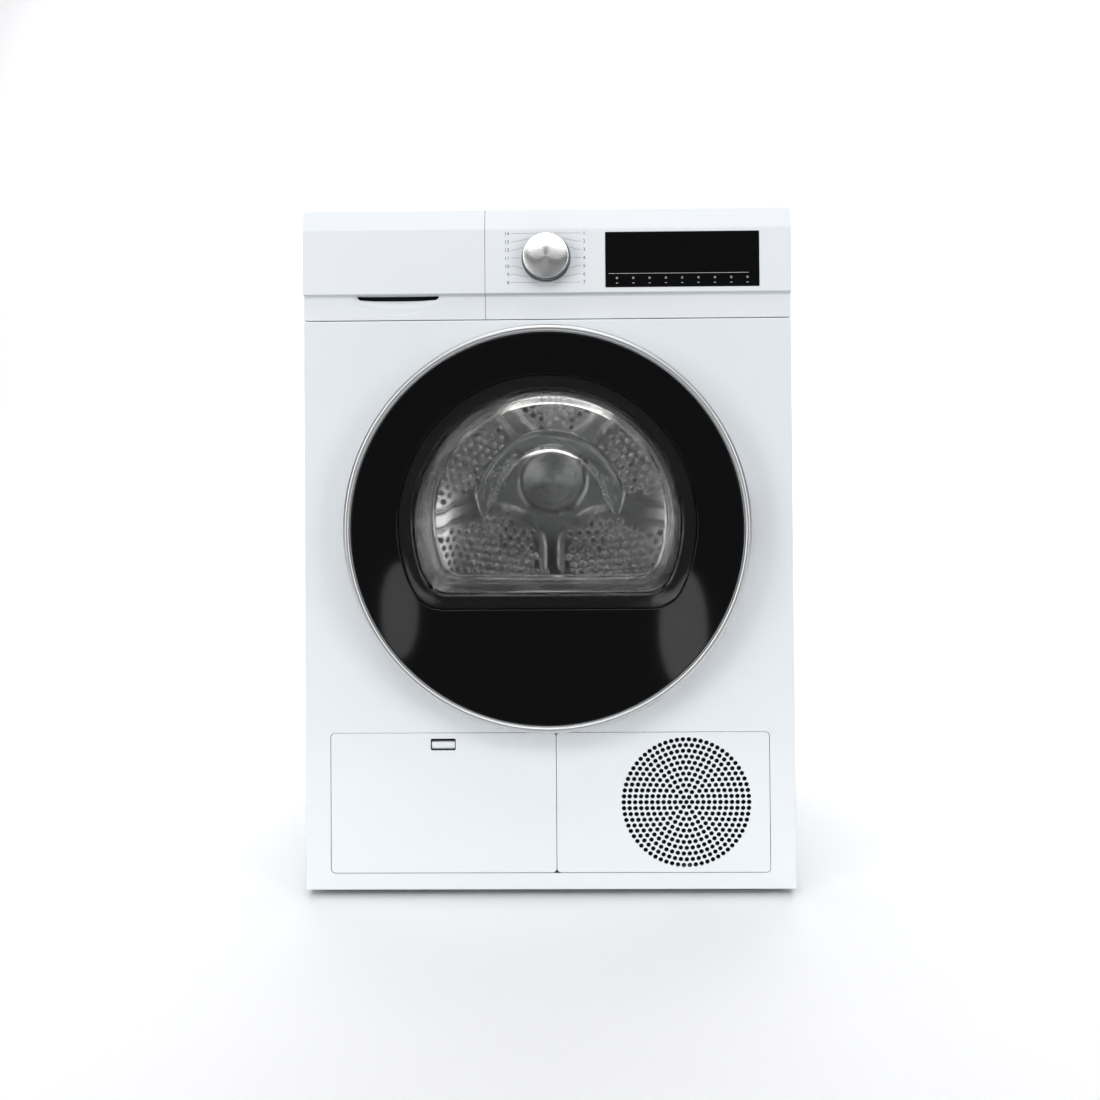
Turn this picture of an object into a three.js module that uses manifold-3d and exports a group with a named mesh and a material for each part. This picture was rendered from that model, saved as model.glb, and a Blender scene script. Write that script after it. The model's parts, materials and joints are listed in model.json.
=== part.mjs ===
// Household front-loading heat-pump tumble dryer, 60 cm class.
// Millimetres, +Z up, the front faces -Y, X runs to the right as seen from the front.
// The origin is on the floor, under the middle of the whole machine.
import * as THREE from 'three';
import { mergeVertices } from 'three/addons/utils/BufferGeometryUtils.js';
import Module from 'manifold-3d';

const wasm = await Module();
wasm.setup();

// ---------------------------------------------------------------- driving dimensions
const fit = 0.3; // gap between pieces that touch on the real machine
const sheet = 0.8; // sheet steel of the casing
const wall = 3; // wall of moulded plastic

const cabinet = {
  width: 598,
  height: 842,
  depth: 599,
  footGap: 10, // clear height under the casing
  flange: 14, // return of the casing sheets
  worktop: 26, // thickness of the worktop
};

const fascia = {
  height: 136, // control panel and drawer front
  thickness: 20,
  lipHeight: 31, // recessed strip along the bottom
  lipSetback: 6, // how far that strip lies back
  crownHeight: 27, // strip along the top that leans back
  crownSetback: 5,
  drawerWidth: 224,
};

const knobSize = { radius: 27.5, height: 17, z: 62, shaft: 3 };
const displaySize = { width: 188, height: 68, right: 39, thickness: 3 };

const base = { height: 196, rim: 46, floor: 5 };

const drumSize = {
  sideClearance: 14, // drum to side panel
  floorClearance: 10, // drum to the top of the base
  topClearance: 28, // drum to the worktop
  length: 432,
  skin: 0.7, // stainless sheet
  lip: 62, // width of the front lip
  backSetback: 34, // how far the back wall lies inside the rear rim
  hubRadius: 58,
  shaftRadius: 9,
};

const door = {
  border: 65, // window edge to the outside of the ring
  rise: 452, // height of its centre above the floor
  ring: 10, // width of the silver ring
  depth: 45, // front of the ring to the front panel
  backGap: 6, // back of the door to the front panel
  panel: 4, // thickness of the black panel
  windowRadius: 178,
  windowRise: 5, // window centre above the door centre
  windowChord: 96, // flat lower edge below the door centre
  windowCorner: 42,
  bowlInset: 15, // bowl inside the window edge
  bowlDepth: 88, // bowl behind the front panel's face
  bowlWall: 5,
};

const port = { bowlClearance: 13, flare: 12, depth: 30 }; // loading opening

const hinge = {
  inset: 14, // pin inside the door's outer edge
  stand: 26, // pin in front of the front panel
  pin: 2.5,
  barrel: 5,
  pocket: 36, // half height of the pocket in the door
  armHalf: 12,
};

const lower = { // service flap and grille panel in the foot of the front
  width: 536,
  top: 201,
  bottom: 30,
  seam: 8, // joint between them, right of the middle
  corner: 6,
  thickness: 8,
};

const grille = { centre: 166, rings: 3, pitch: 25.4, hole: 8, sides: 6 };

const latch = { width: 30, height: 13, drop: 8, travel: 4, depth: 12 };

const container = { height: 90, length: 470, drop: 20, wall: 2 };

const exchangerHeight = 175; // cover over the two coils
const bulkheadTopMargin = 170; // bulkheads above the drum's middle
const lamp = { radius: 9, rise: 14 }; // drum light above the loading opening

const roller = { radius: 25, width: 14, angle: 35, bore: 4 };
const belt = { thickness: 1.6, width: 10, clearance: 1.2 };
const motorSize = { radius: 55, length: 110, x: 112, z: 128, pulley: 14, shaft: 6 };
const idlerSize = { radius: 20, x: 20, z: 176, bore: 4, arm: 62 };
const blower = { radius: 74, width: 40, clearance: 8, outlet: 90 };
const foot = { radius: 19, pad: 8, stem: 5, inset: 52 };

// ---------------------------------------------------------------- derived places
const halfWidth = cabinet.width / 2;
const frontY = -(cabinet.depth + door.depth - 5) / 2 + door.depth - 5; // face of the fascia
const panelY = frontY + 5; // face of the front panel
const rearY = frontY + cabinet.depth;
const innerX = halfWidth - sheet - fit;
const worktopZ = cabinet.height - cabinet.worktop;
const fasciaZ = cabinet.height - fascia.height;
const casingBottom = cabinet.footGap;
const baseTop = casingBottom + base.height;
const behindPanel = panelY + sheet + fit;

const drumFloor = baseTop + drumSize.floorClearance;
const drumCeiling = worktopZ - drumSize.topClearance;
const drumRadius = Math.min(innerX - drumSize.sideClearance, (drumCeiling - drumFloor) / 2);
const drumZ = drumFloor + drumRadius;
const bulkheadY = panelY + port.depth + 3 * fit; // front face of the front bulkhead
const drumFrontY = bulkheadY + wall + 10;
const drumRearY = drumFrontY + drumSize.length;
const rearBulkheadY = drumRearY + 10;
const drumBackY = drumRearY - drumSize.backSetback;

const doorRadius = door.windowRadius + door.border;
const portThroat = door.windowRadius - door.bowlInset + port.bowlClearance;
const portRadius = portThroat + port.flare;
const lampZ = portThroat + lamp.rise; // above the door's middle
const plateTop = Math.max(drumZ + bulkheadTopMargin, door.rise + lampZ + lamp.radius + 5);

// ---------------------------------------------------------------- geometry helpers
const UP = new THREE.Matrix4().makeBasis(
  new THREE.Vector3(0, 1, 0), new THREE.Vector3(0, 0, 1), new THREE.Vector3(1, 0, 0));

/** Closed indexed copy of a geometry with its faces turned outward. */
function closed(geometry) {
  const bare = geometry.index ? geometry.toNonIndexed() : geometry.clone();
  for (const name of Object.keys(bare.attributes)) {
    if (name !== 'position') bare.deleteAttribute(name);
  }
  const merged = mergeVertices(bare, 1e-4);
  const p = merged.attributes.position;
  const index = [];
  const raw = merged.index.array;
  let volume = 0;
  const [a, b, c] = [new THREE.Vector3(), new THREE.Vector3(), new THREE.Vector3()];
  for (let i = 0; i < raw.length; i += 3) {
    const [u, v, w] = [raw[i], raw[i + 1], raw[i + 2]];
    if (u === v || v === w || w === u) continue;
    index.push(u, v, w);
    volume += a.fromBufferAttribute(p, u)
      .dot(b.fromBufferAttribute(p, v).cross(c.fromBufferAttribute(p, w)));
  }
  if (volume < 0) {
    for (let i = 0; i < index.length; i += 3) [index[i], index[i + 1]] = [index[i + 1], index[i]];
  }
  merged.setIndex(index);
  return merged;
}

function toSolid(geometry) {
  const g = closed(geometry);
  return new wasm.Manifold(new wasm.Mesh({
    numProp: 3,
    vertProperties: new Float32Array(g.attributes.position.array),
    triVerts: new Uint32Array(g.index.array),
  }));
}

function fromSolid(solid) {
  const mesh = solid.getMesh();
  const g = new THREE.BufferGeometry();
  g.setAttribute('position', new THREE.BufferAttribute(new Float32Array(mesh.vertProperties), 3));
  g.setIndex([...mesh.triVerts]);
  return g;
}

/** First geometry with the others joined to it. */
function join(first, ...others) {
  return fromSolid(others.reduce((solid, g) => solid.add(toSolid(g)), toSolid(first)));
}

/** First geometry with the others cut out of it. */
function cut(first, ...tools) {
  return fromSolid(tools.reduce((solid, g) => solid.subtract(toSolid(g)), toSolid(first)));
}

/** Box between two corners. */
function box(x0, x1, y0, y1, z0, z1) {
  const g = new THREE.BoxGeometry(x1 - x0, y1 - y0, z1 - z0);
  return g.translate((x0 + x1) / 2, (y0 + y1) / 2, (z0 + z1) / 2);
}

/** Outline in X and Z pushed along Y from y0 to y1. */
function alongY(shape, y0, y1, segments = 8) {
  const g = new THREE.ExtrudeGeometry(shape, {
    depth: y1 - y0, bevelEnabled: false, curveSegments: segments });
  return g.rotateX(Math.PI / 2).translate(0, y1, 0);
}

/** Outline in X and Y pushed along Z from z0 to z1. */
function alongZ(shape, z0, z1, segments = 8) {
  const g = new THREE.ExtrudeGeometry(shape, {
    depth: z1 - z0, bevelEnabled: false, curveSegments: segments });
  return g.translate(0, 0, z0);
}

/** Outline in Y and Z pushed along X from x0 to x1. */
function alongX(shape, x0, x1, segments = 8) {
  const g = new THREE.ExtrudeGeometry(shape, {
    depth: x1 - x0, bevelEnabled: false, curveSegments: segments });
  return g.applyMatrix4(UP).translate(x0, 0, 0);
}

/** Profile of [radius, y] points turned about the Y axis. */
function turned(profile, segments = 48) {
  return new THREE.LatheGeometry(profile.map(([r, y]) => new THREE.Vector2(r, y)), segments);
}

/** Profile of [radius, z] points turned about the Z axis. */
function turnedUp(profile, segments = 24) {
  return turned(profile, segments).rotateX(Math.PI / 2);
}

function rodY(radius, y0, y1, segments = 24) {
  return turned([[0, y0], [radius, y0], [radius, y1], [0, y1]], segments);
}

function tubeY(outer, inner, y0, y1, segments = 24) {
  return turned([[inner, y0], [outer, y0], [outer, y1], [inner, y1], [inner, y0]], segments);
}

function polygon(points) {
  return new THREE.Shape(points.map(([u, v]) => new THREE.Vector2(u, v)));
}

/** Round outline with a given number of sides. */
function circle(x, z, r, sides = 48) {
  return polygon(Array.from({ length: sides }, (_, i) => {
    const t = (2 * Math.PI * i) / sides;
    return [x + r * Math.cos(t), z + r * Math.sin(t)];
  }));
}

/** Rectangle with rounded corners between two opposite corners. */
function rounded(x0, x1, z0, z1, r) {
  const shape = new THREE.Shape();
  shape.moveTo(x0 + r, z0);
  shape.lineTo(x1 - r, z0);
  shape.absarc(x1 - r, z0 + r, r, -Math.PI / 2, 0, false);
  shape.lineTo(x1, z1 - r);
  shape.absarc(x1 - r, z1 - r, r, 0, Math.PI / 2, false);
  shape.lineTo(x0 + r, z1);
  shape.absarc(x0 + r, z1 - r, r, Math.PI / 2, Math.PI, false);
  shape.lineTo(x0, z0 + r);
  shape.absarc(x0 + r, z0 + r, r, Math.PI, 1.5 * Math.PI, false);
  return shape;
}

/** Door window: a circle with a flat lower edge and rounded corners, made smaller by inset. */
function windowShape(inset) {
  const r = door.windowRadius - inset;
  const c = door.windowCorner - inset / 2;
  const flat = -door.windowChord + inset; // height of the lower edge
  const cz = flat + c; // height of the corner centres
  const cx = Math.sqrt((r - c) ** 2 - (cz - door.windowRise) ** 2);
  const angle = Math.atan2(cz - door.windowRise, cx);
  const shape = new THREE.Shape();
  shape.moveTo(-cx, flat);
  shape.lineTo(cx, flat);
  shape.absarc(cx, cz, c, -Math.PI / 2, angle, false);
  shape.absarc(0, door.windowRise, r, angle, Math.PI - angle, false);
  shape.absarc(-cx, cz, c, Math.PI - angle, 1.5 * Math.PI, false);
  return shape;
}

/** Convex outline around circles of [x, z, r], grown by an offset. */
function wrap(circles, offset, steps = 48) {
  const points = circles.flatMap(([x, z, r]) => Array.from({ length: steps }, (_, i) => {
    const t = (2 * Math.PI * i) / steps;
    return [x + (r + offset) * Math.cos(t), z + (r + offset) * Math.sin(t)];
  }));
  points.sort((p, q) => p[0] - q[0] || p[1] - q[1]);
  const half = (list) => {
    const hull = [];
    for (const p of list) {
      while (hull.length > 1) {
        const [a, b] = hull.slice(-2);
        const turn = (b[0] - a[0]) * (p[1] - a[1]) - (b[1] - a[1]) * (p[0] - a[0]);
        if (turn > 1e-9) break;
        hull.pop();
      }
      hull.push(p);
    }
    return hull.slice(0, -1);
  };
  return polygon([...half(points), ...half([...points].reverse())]);
}

function withHole(shape, ...holes) {
  shape.holes.push(...holes);
  return shape;
}

// ---------------------------------------------------------------- materials and scene
const finish = (color, roughness, metalness = 0) =>
  new THREE.MeshStandardMaterial({ color, roughness, metalness });
const enamel = finish(0xe9edf0, 0.35);
const whitePlastic = finish(0xe6eaee, 0.4);
const greyPlastic = finish(0x8b8f93, 0.6);
const darkPlastic = finish(0x2b2d30, 0.6);
const blackGloss = finish(0x0b0c0d, 0.1);
const silver = finish(0xc4c7c9, 0.28, 1);
const stainless = finish(0xb9bcbe, 0.3, 1);
const galvanised = finish(0x9fa4a8, 0.5, 1);
const glass = finish(0xdfe8ea, 0.05);
const rubber = finish(0x1b1b1c, 0.9);
const board = finish(0x1f5a34, 0.6);
const copper = finish(0x9a5c3a, 0.35, 1);

const dryer = new THREE.Group();

/** Adds one named piece to a group. */
function piece(name, geometry, material, parent = dryer) {
  const mesh = new THREE.Mesh(closed(geometry), material);
  mesh.name = name;
  parent.add(mesh);
  return mesh;
}

/** Sub-group placed at a point. */
function at(x, y, z, parent = dryer) {
  const group = new THREE.Group();
  group.position.set(x, y, z);
  parent.add(group);
  return group;
}

// ---------------------------------------------------------------- casing
function casing() {
  const top = worktopZ - fit;
  const y0 = behindPanel + cabinet.flange;
  const y1 = rearY - sheet - fit;
  for (const [name, s] of [['side_panel_left', -1], ['side_panel_right', 1]]) {
    const x = s * halfWidth;
    const inner = s * (halfWidth - sheet);
    const lip = s * (halfWidth - cabinet.flange);
    piece(name, alongZ(polygon([
      [x, y0], [x, y1], [lip, y1], [lip, y1 - sheet], [inner, y1 - sheet],
      [inner, y0 + sheet], [lip, y0 + sheet], [lip, y0],
    ]), casingBottom, top), enamel);
  }

  const face = withHole(polygon([
    [-halfWidth, casingBottom], [halfWidth, casingBottom],
    [halfWidth, fasciaZ - 1], [-halfWidth, fasciaZ - 1],
  ]), circle(0, door.rise, portRadius));
  const w = lower.width / 2;
  face.holes.push(rounded(-w, w, lower.bottom, lower.top, lower.corner));
  const flange = (s) => box(
    Math.min(s * halfWidth, s * (halfWidth - sheet)), Math.max(s * halfWidth, s * (halfWidth - sheet)),
    panelY, panelY + cabinet.flange, casingBottom, fasciaZ - 1);
  const catchX = -(doorRadius - 22);
  piece('front_panel', cut(
    join(alongY(face, panelY, panelY + sheet, 4), flange(-1), flange(1)),
    box(catchX - 9, catchX + 9, panelY - 1, panelY + sheet + 1, door.rise - 16, door.rise + 16),
  ), enamel);

  piece('worktop', box(-halfWidth, halfWidth, frontY + fascia.thickness + fit, rearY,
    worktopZ, cabinet.height), whitePlastic);

  const vents = Array.from({ length: 8 }, (_, i) => polygon([
    [-200, 60 + i * 16], [-60, 60 + i * 16], [-60, 66 + i * 16], [-200, 66 + i * 16]]));
  piece('rear_panel', alongY(withHole(polygon([
    [-halfWidth, casingBottom], [halfWidth, casingBottom], [halfWidth, worktopZ - fit],
    [-halfWidth, worktopZ - fit],
  ]), circle(230, 60, 12, 16), ...vents), rearY - sheet, rearY), galvanised);

  const tray = box(-innerX + cabinet.flange, innerX - cabinet.flange, behindPanel + 14,
    rearY - cabinet.flange - fit, casingBottom, casingBottom + base.rim);
  piece('base_tray', cut(tray, box(-innerX + cabinet.flange + wall, innerX - cabinet.flange - wall,
    behindPanel + 14 + wall, rearY - cabinet.flange - fit - wall, casingBottom + base.floor,
    casingBottom + base.rim + 1)), greyPlastic);

  piece('mains_inlet', cut(
    join(rodY(11, rearY - 14, rearY).translate(230, 0, 60),
      tubeY(16, 4, rearY - sheet - 6, rearY - sheet - fit).translate(230, 0, 60)),
    rodY(4, rearY - 20, rearY + 4).translate(230, 0, 60)), darkPlastic);

  for (const [name, sx, y] of [
    ['foot_front_left', -1, behindPanel + foot.inset], ['foot_front_right', 1, behindPanel + foot.inset],
    ['foot_rear_left', -1, rearY - foot.inset], ['foot_rear_right', 1, rearY - foot.inset],
  ]) {
    const spot = at(sx * (halfWidth - foot.inset), y, 0);
    piece(name, turnedUp([[0, 0], [foot.radius, 0], [foot.radius, foot.pad],
      [foot.stem, foot.pad], [foot.stem, casingBottom - fit], [0, casingBottom - fit]], 16), rubber, spot);
  }
}

// ---------------------------------------------------------------- fascia, knob, display
/** Side view of the fascia in Y and Z: a leaning crown, a flat face and a recessed lip. */
function fasciaProfile() {
  const back = frontY + fascia.thickness;
  const lipTop = fasciaZ + fascia.lipHeight;
  return polygon([
    [frontY + fascia.lipSetback + 1, fasciaZ], [back, fasciaZ], [back, cabinet.height - 1],
    [back - 1, cabinet.height], [frontY + fascia.crownSetback + 3, cabinet.height],
    [frontY + fascia.crownSetback, cabinet.height - 3], [frontY, cabinet.height - fascia.crownHeight],
    [frontY, lipTop], [frontY + fascia.lipSetback, lipTop - 1.5],
  ]);
}

const seamX = -halfWidth + fascia.drawerWidth;
const handleX = (seamX - halfWidth) / 2 + 3; // middle of the drawer's grip
const knobZ = worktopZ - knobSize.z + 26;
const displayX = halfWidth - displaySize.right - displaySize.width / 2;
const lipTopZ = fasciaZ + fascia.lipHeight;
const displayZ = lipTopZ + 6 + displaySize.height / 2;

function controls() {
  const halfDisplay = displaySize.width / 2;
  const pocket = box(displayX - halfDisplay, displayX + halfDisplay, frontY - 1,
    frontY + displaySize.thickness, displayZ - displaySize.height / 2, displayZ + displaySize.height / 2);
  const hole = rodY(knobSize.shaft + fit, frontY - 1, frontY + fascia.thickness + 1, 16)
    .translate(0, 0, knobZ);
  piece('control_panel', cut(
    alongX(fasciaProfile(), seamX + fit, halfWidth), pocket, hole), whitePlastic);
  piece('display_window', box(displayX - halfDisplay + fit, displayX + halfDisplay - fit, frontY - 0.5,
    frontY + displaySize.thickness - fit, displayZ - displaySize.height / 2 + fit,
    displayZ + displaySize.height / 2 - fit), blackGloss);

  const spot = at(0, frontY, knobZ);
  const k = knobSize;
  piece('programme_knob', turned([[0, -k.height], [k.radius - 2, -k.height], [k.radius, 2 - k.height],
    [k.radius + 1.2, -1], [k.shaft, -1], [k.shaft, fascia.thickness + 8],
    [0, fascia.thickness + 8]], 32), silver, spot);
  const back = fascia.thickness + fit;
  piece('selector_switch', cut(box(-20, 20, back, back + 16, -20, 20),
    rodY(k.shaft + fit, back - 1, back + 9, 16)), darkPlastic, spot);
  piece('control_board', box(60, halfWidth - 40, frontY + back, frontY + back + 14,
    fasciaZ + 30, worktopZ - 4), board);
}

// ---------------------------------------------------------------- condensate drawer
const containerY = frontY + fascia.thickness + fit;
const containerTop = worktopZ - container.drop;

/** Highest point of the drum at a distance from its middle, with clearance. */
function overDrum(x) {
  return drumZ + Math.sqrt(Math.max((drumRadius + 16) ** 2 - x ** 2, 0));
}

const containerFloor = Math.max(containerTop - container.height, plateTop + 6, fasciaZ + 2);

/** Section of the container: it steps down beside the drum's round top. */
function containerSection(grow) {
  const x0 = -halfWidth + cabinet.flange + 5 - grow;
  const x1 = seamX - 8 + grow;
  const steps = 4;
  const low = Array.from({ length: steps + 1 }, (_, i) => {
    const x = x0 + ((x1 - x0) * i) / steps;
    const next = Math.min(x + (x1 - x0) / steps, x1);
    return [x, Math.max(overDrum(next), containerFloor) - grow];
  });
  return polygon([...low, [x1, containerTop + grow], [x0, containerTop + grow]]);
}

function drawer() {
  const grip = handleX;
  const scoop = new THREE.SphereGeometry(1, 24, 12).scale(58, 14, 30)
    .translate(grip, frontY + fascia.lipSetback - 4, lipTopZ - 4);
  const throat = box(grip - 50, grip + 50, frontY + 4, frontY + 15, lipTopZ - 10, lipTopZ + 12);
  const lipOnly = box(grip - 70, grip + 70, frontY - 20, frontY + 15, fasciaZ + 3, lipTopZ);
  piece('drawer_front', cut(alongX(fasciaProfile(), -halfWidth, seamX - fit),
    fromSolid(toSolid(scoop).intersect(toSolid(lipOnly))), throat), whitePlastic);

  const outer = alongY(containerSection(-fit), containerY, containerY + container.length, 4);
  const inner = alongY(containerSection(-fit - container.wall), containerY + container.wall,
    containerY + container.length - container.wall, 4);
  const mouthY = containerY + container.length - 60;
  const mouth = box(handleX - 30, handleX + 30, mouthY - 25, mouthY + 25, containerTop - 9,
    containerTop + 9);
  piece('condensate_container', cut(outer, inner, mouth), whitePlastic);
  const g0 = containerY + 6;
  const x0 = -halfWidth + cabinet.flange + 1;
  const low = containerFloor - 8;
  piece('container_guide', join(
    box(x0, x0 + 2, g0, containerY + container.length + 6, low, worktopZ - fit),
    box(x0, seamX - 1, g0, containerY + container.length + 6, worktopZ - fit - 3, worktopZ - fit),
    box(seamX - 3, seamX - 1, g0, containerY + container.length + 6, containerTop - 4,
      worktopZ - fit)), greyPlastic);
}

// ---------------------------------------------------------------- door
function doorWithHinge() {
  const spot = at(0, panelY, door.rise);
  const front = -door.depth;
  const back = -door.backGap;
  const inner = doorRadius - door.ring;
  const hingeX = doorRadius - hinge.inset;
  const pocketTop = -hinge.stand - hinge.barrel - 1;
  const sweep = hinge.inset + 30; // reach of the fixed arm as the door turns
  const pocket = box(hingeX - sweep, hingeX + sweep, pocketTop, back + 1, -hinge.pocket, hinge.pocket);

  piece('door_ring', cut(turned([
    [inner, front + 5], [inner + 3, front], [doorRadius - 4, front], [doorRadius, front + 5],
    [doorRadius, back], [inner, back], [inner, front + 5],
  ]), pocket), silver, spot);
  piece('door_panel', alongY(withHole(circle(0, 0, inner - fit), windowShape(0)),
    front + 3, front + 3 + door.panel), blackGloss, spot);
  const frameTop = front + 3 + door.panel + fit;
  piece('door_frame', cut(
    alongY(withHole(circle(0, 0, inner - fit), windowShape(0)), frameTop, back),
    pocket), darkPlastic, spot);

  const lip = door.bowlInset;
  const cup = alongY(windowShape(lip), frameTop + 3.9, door.bowlDepth);
  const rim = alongY(windowShape(1), frameTop, frameTop + 4);
  const hollow = alongY(windowShape(lip + door.bowlWall), frameTop - 1,
    door.bowlDepth - door.bowlWall);
  piece('door_bowl', cut(join(rim, cup), hollow), glass, spot);
  piece('door_seal', tubeY(portRadius + 7, portRadius + 1, back + fit, -fit, 48), rubber, spot);

  const catchX = -(doorRadius - 22);
  piece('door_catch', join(
    box(catchX - 5, catchX + 5, back + fit, 14, -11, 11),
    box(catchX - 5, catchX + 5, 8, 16, -13, 13)), greyPlastic, spot);
  const slot = cut(box(catchX - 14, catchX + 14, sheet + fit, 28, -24, 24),
    box(catchX - 10, catchX + 10, 0, 24, -17, 17));
  piece('catch_receiver', slot, darkPlastic, spot);

  const pin = at(hingeX, -hinge.stand, 0, spot);
  const knuckle = (z0, z1) => turnedUp([[hinge.pin + fit, z0], [hinge.barrel, z0], [hinge.barrel, z1],
    [hinge.pin + fit, z1], [hinge.pin + fit, z0]], 16);
  const bore = turnedUp([[0, -60], [hinge.pin + fit, -60], [hinge.pin + fit, 60], [0, 60]], 16);
  const plate = hinge.stand - fit; // front panel's face as seen from the pin
  const h = hinge.armHalf;
  const leaf = hinge.pocket - 2;
  piece('hinge_bracket', join(
    turnedUp([[0, -h], [hinge.barrel, -h], [hinge.barrel, h], [0, h]], 16),
    box(-25, 0, -2.5, 2.5, -h, h),
    box(-28, -22, -2.5, plate, -h, h),
    box(-28, -4, plate - 2.2, plate, -h, h),
    turnedUp([[0, -leaf - 1], [hinge.pin, -leaf - 1], [hinge.pin, leaf + 1], [0, leaf + 1]], 16),
  ), galvanised, pin);
  const leafTop = pocketTop + fit + hinge.stand;
  const arms = [[-leaf, -h - fit], [h + fit, leaf]].map(([z0, z1]) => join(knuckle(z0, z1),
    box(-9, 0, leafTop, 2.5, z0, z1)));
  piece('hinge_leaf', cut(join(arms[0], arms[1],
    box(-30, -6, leafTop, leafTop + 1.2, -leaf, leaf)), bore), galvanised, pin);
}

// ---------------------------------------------------------------- loading port and bulkheads
const filterX = 90; // half width of the lint filter
const filterDepth = 88;
const filterTop = door.rise - Math.sqrt(portThroat ** 2 - filterX ** 2) - 2;
const filterBottom = Math.max(filterTop - filterDepth, lower.top + 4);

function bulkheads() {
  const depth = bulkheadY - panelY;
  const y0 = sheet + fit;
  const half = filterX + wall + 1;
  const slot = box(-half, half, y0 - 1, depth, -portRadius - 20, -portThroat / 2);
  const lampHole = rodY(lamp.radius + fit, -10, depth + 20, 24).translate(0, 0, lampZ);
  piece('loading_port', cut(turned([
    [portRadius, y0], [portRadius + 8, y0], [portThroat + 3, depth - fit],
    [portThroat, depth - fit], [portRadius, y0],
  ]), slot, lampHole), greyPlastic, at(0, panelY, door.rise));

  const plate = (top) => polygon([
    [-innerX + 16, baseTop], [innerX - 16, baseTop], [innerX - 16, top], [-innerX + 16, top]]);
  const turn = (roller.angle * Math.PI) / 180;
  const reach = drumRadius + roller.radius + fit;
  const [rollerX, rollerZ] = [reach * Math.sin(turn), drumZ - reach * Math.cos(turn)];
  const rollerY = drumFrontY + 12;
  const pins = [-1, 1].map((s) => rodY(roller.bore, bulkheadY + 1, rollerY + roller.width + 4, 16)
    .translate(s * rollerX, 0, rollerZ));
  piece('front_bulkhead', join(alongY(withHole(plate(plateTop),
    circle(0, door.rise, portThroat), circle(0, door.rise + lampZ, lamp.radius + fit * 2, 24)),
  bulkheadY, bulkheadY + wall), ...pins), galvanised);

  const ports = Array.from({ length: 6 }, (_, i) => {
    const t = (i * Math.PI) / 3;
    return circle(110 * Math.cos(t), drumZ + 110 * Math.sin(t), 34, 16);
  });
  piece('rear_bulkhead', alongY(withHole(plate(plateTop),
    circle(0, drumZ, drumSize.shaftRadius + 9 + 2 * fit, 24), ...ports),
  rearBulkheadY, rearBulkheadY + sheet), galvanised);

  for (const [name, s] of [['support_roller_left', -1], ['support_roller_right', 1]]) {
    piece(name, tubeY(roller.radius, roller.bore + fit, rollerY, rollerY + roller.width, 32),
      rubber, at(s * rollerX, 0, rollerZ));
  }

  const top = filterTop - fit;
  const f = filterX + wall;
  piece('filter_housing', cut(
    box(-f, f, behindPanel + 3, bulkheadY - fit, lower.top + 4, top),
    box(-filterX, filterX, behindPanel + 3 + 2, bulkheadY - fit - 2, casingBottom, top + 1)), greyPlastic);
  const b = filterX - 1;
  piece('lint_filter', cut(join(
    box(-b, b, behindPanel + 3 + 3, bulkheadY - fit - 3, filterBottom, filterTop),
    box(-b, b, behindPanel + 8, bulkheadY - 8, filterTop - 1, filterTop + 6)),
  box(-b + 3, b - 3, behindPanel + 9, bulkheadY - 9, filterBottom - 1, filterTop - 6)), greyPlastic);

  piece('drum_light', rodY(lamp.radius, panelY + 8, bulkheadY + wall + 4, 16)
    .translate(0, 0, door.rise + lampZ), glass);
}

// ---------------------------------------------------------------- drum
/** Outline of one of the five air fields of the drum's back, with rounded corners. */
function fieldHoles(index) {
  const mid = Math.PI / 2 + (index * 2 * Math.PI) / 5;
  const holes = [];
  for (let row = 0; row < 2; row += 1) {
    const r = drumRadius * (0.4 + 0.25 * row);
    const count = 3 + row;
    for (let i = 0; i < count; i += 1) {
      const t = mid + ((i - (count - 1) / 2) * 0.92) / count;
      holes.push(circle(r * Math.cos(t), r * Math.sin(t), 14, 6));
    }
  }
  return holes;
}

function drum() {
  const spot = at(0, 0, drumZ);
  const r = drumRadius;
  const t = drumSize.skin;
  piece('drum_shell', turned([
    [r - drumSize.lip, drumFrontY], [r, drumFrontY], [r, drumRearY], [r - t, drumRearY],
    [r - t, drumFrontY + t], [r - drumSize.lip, drumFrontY + t], [r - drumSize.lip, drumFrontY],
  ]), stainless, spot);
  const holes = [0, 1, 2, 3, 4].flatMap(fieldHoles);
  piece('drum_back', alongY(withHole(circle(0, 0, r - t - 1), ...holes),
    drumBackY, drumBackY + drumSize.skin), stainless, spot);
  piece('drum_hub', turned([
    [0, drumBackY - 7], [drumSize.hubRadius - 8, drumBackY - 7], [drumSize.hubRadius, drumBackY - fit],
    [0, drumBackY - fit]], 32), stainless, spot);
  piece('drum_shaft', join(
    rodY(drumSize.shaftRadius, drumBackY + 2 + fit, rearBulkheadY + wall + 12),
    rodY(60, drumBackY + 2 + fit, drumBackY + 6)), galvanised, spot);
  piece('rear_bearing', tubeY(drumSize.shaftRadius + 9, drumSize.shaftRadius + fit,
    rearBulkheadY - 3, rearBulkheadY + wall + 9), silver, spot);

  for (let i = 0; i < 3; i += 1) {
    const arm = polygon([[-38, r - t - 4], [38, r - t - 4], [16, r - 52], [0, r - 58], [-16, r - 52]]);
    const g = alongY(arm, drumFrontY + 40, drumBackY - 12);
    g.rotateY((i * 2 * Math.PI) / 3 + Math.PI / 3);
    piece(`lifter_${i + 1}`, g, stainless, spot);
  }
}

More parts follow.
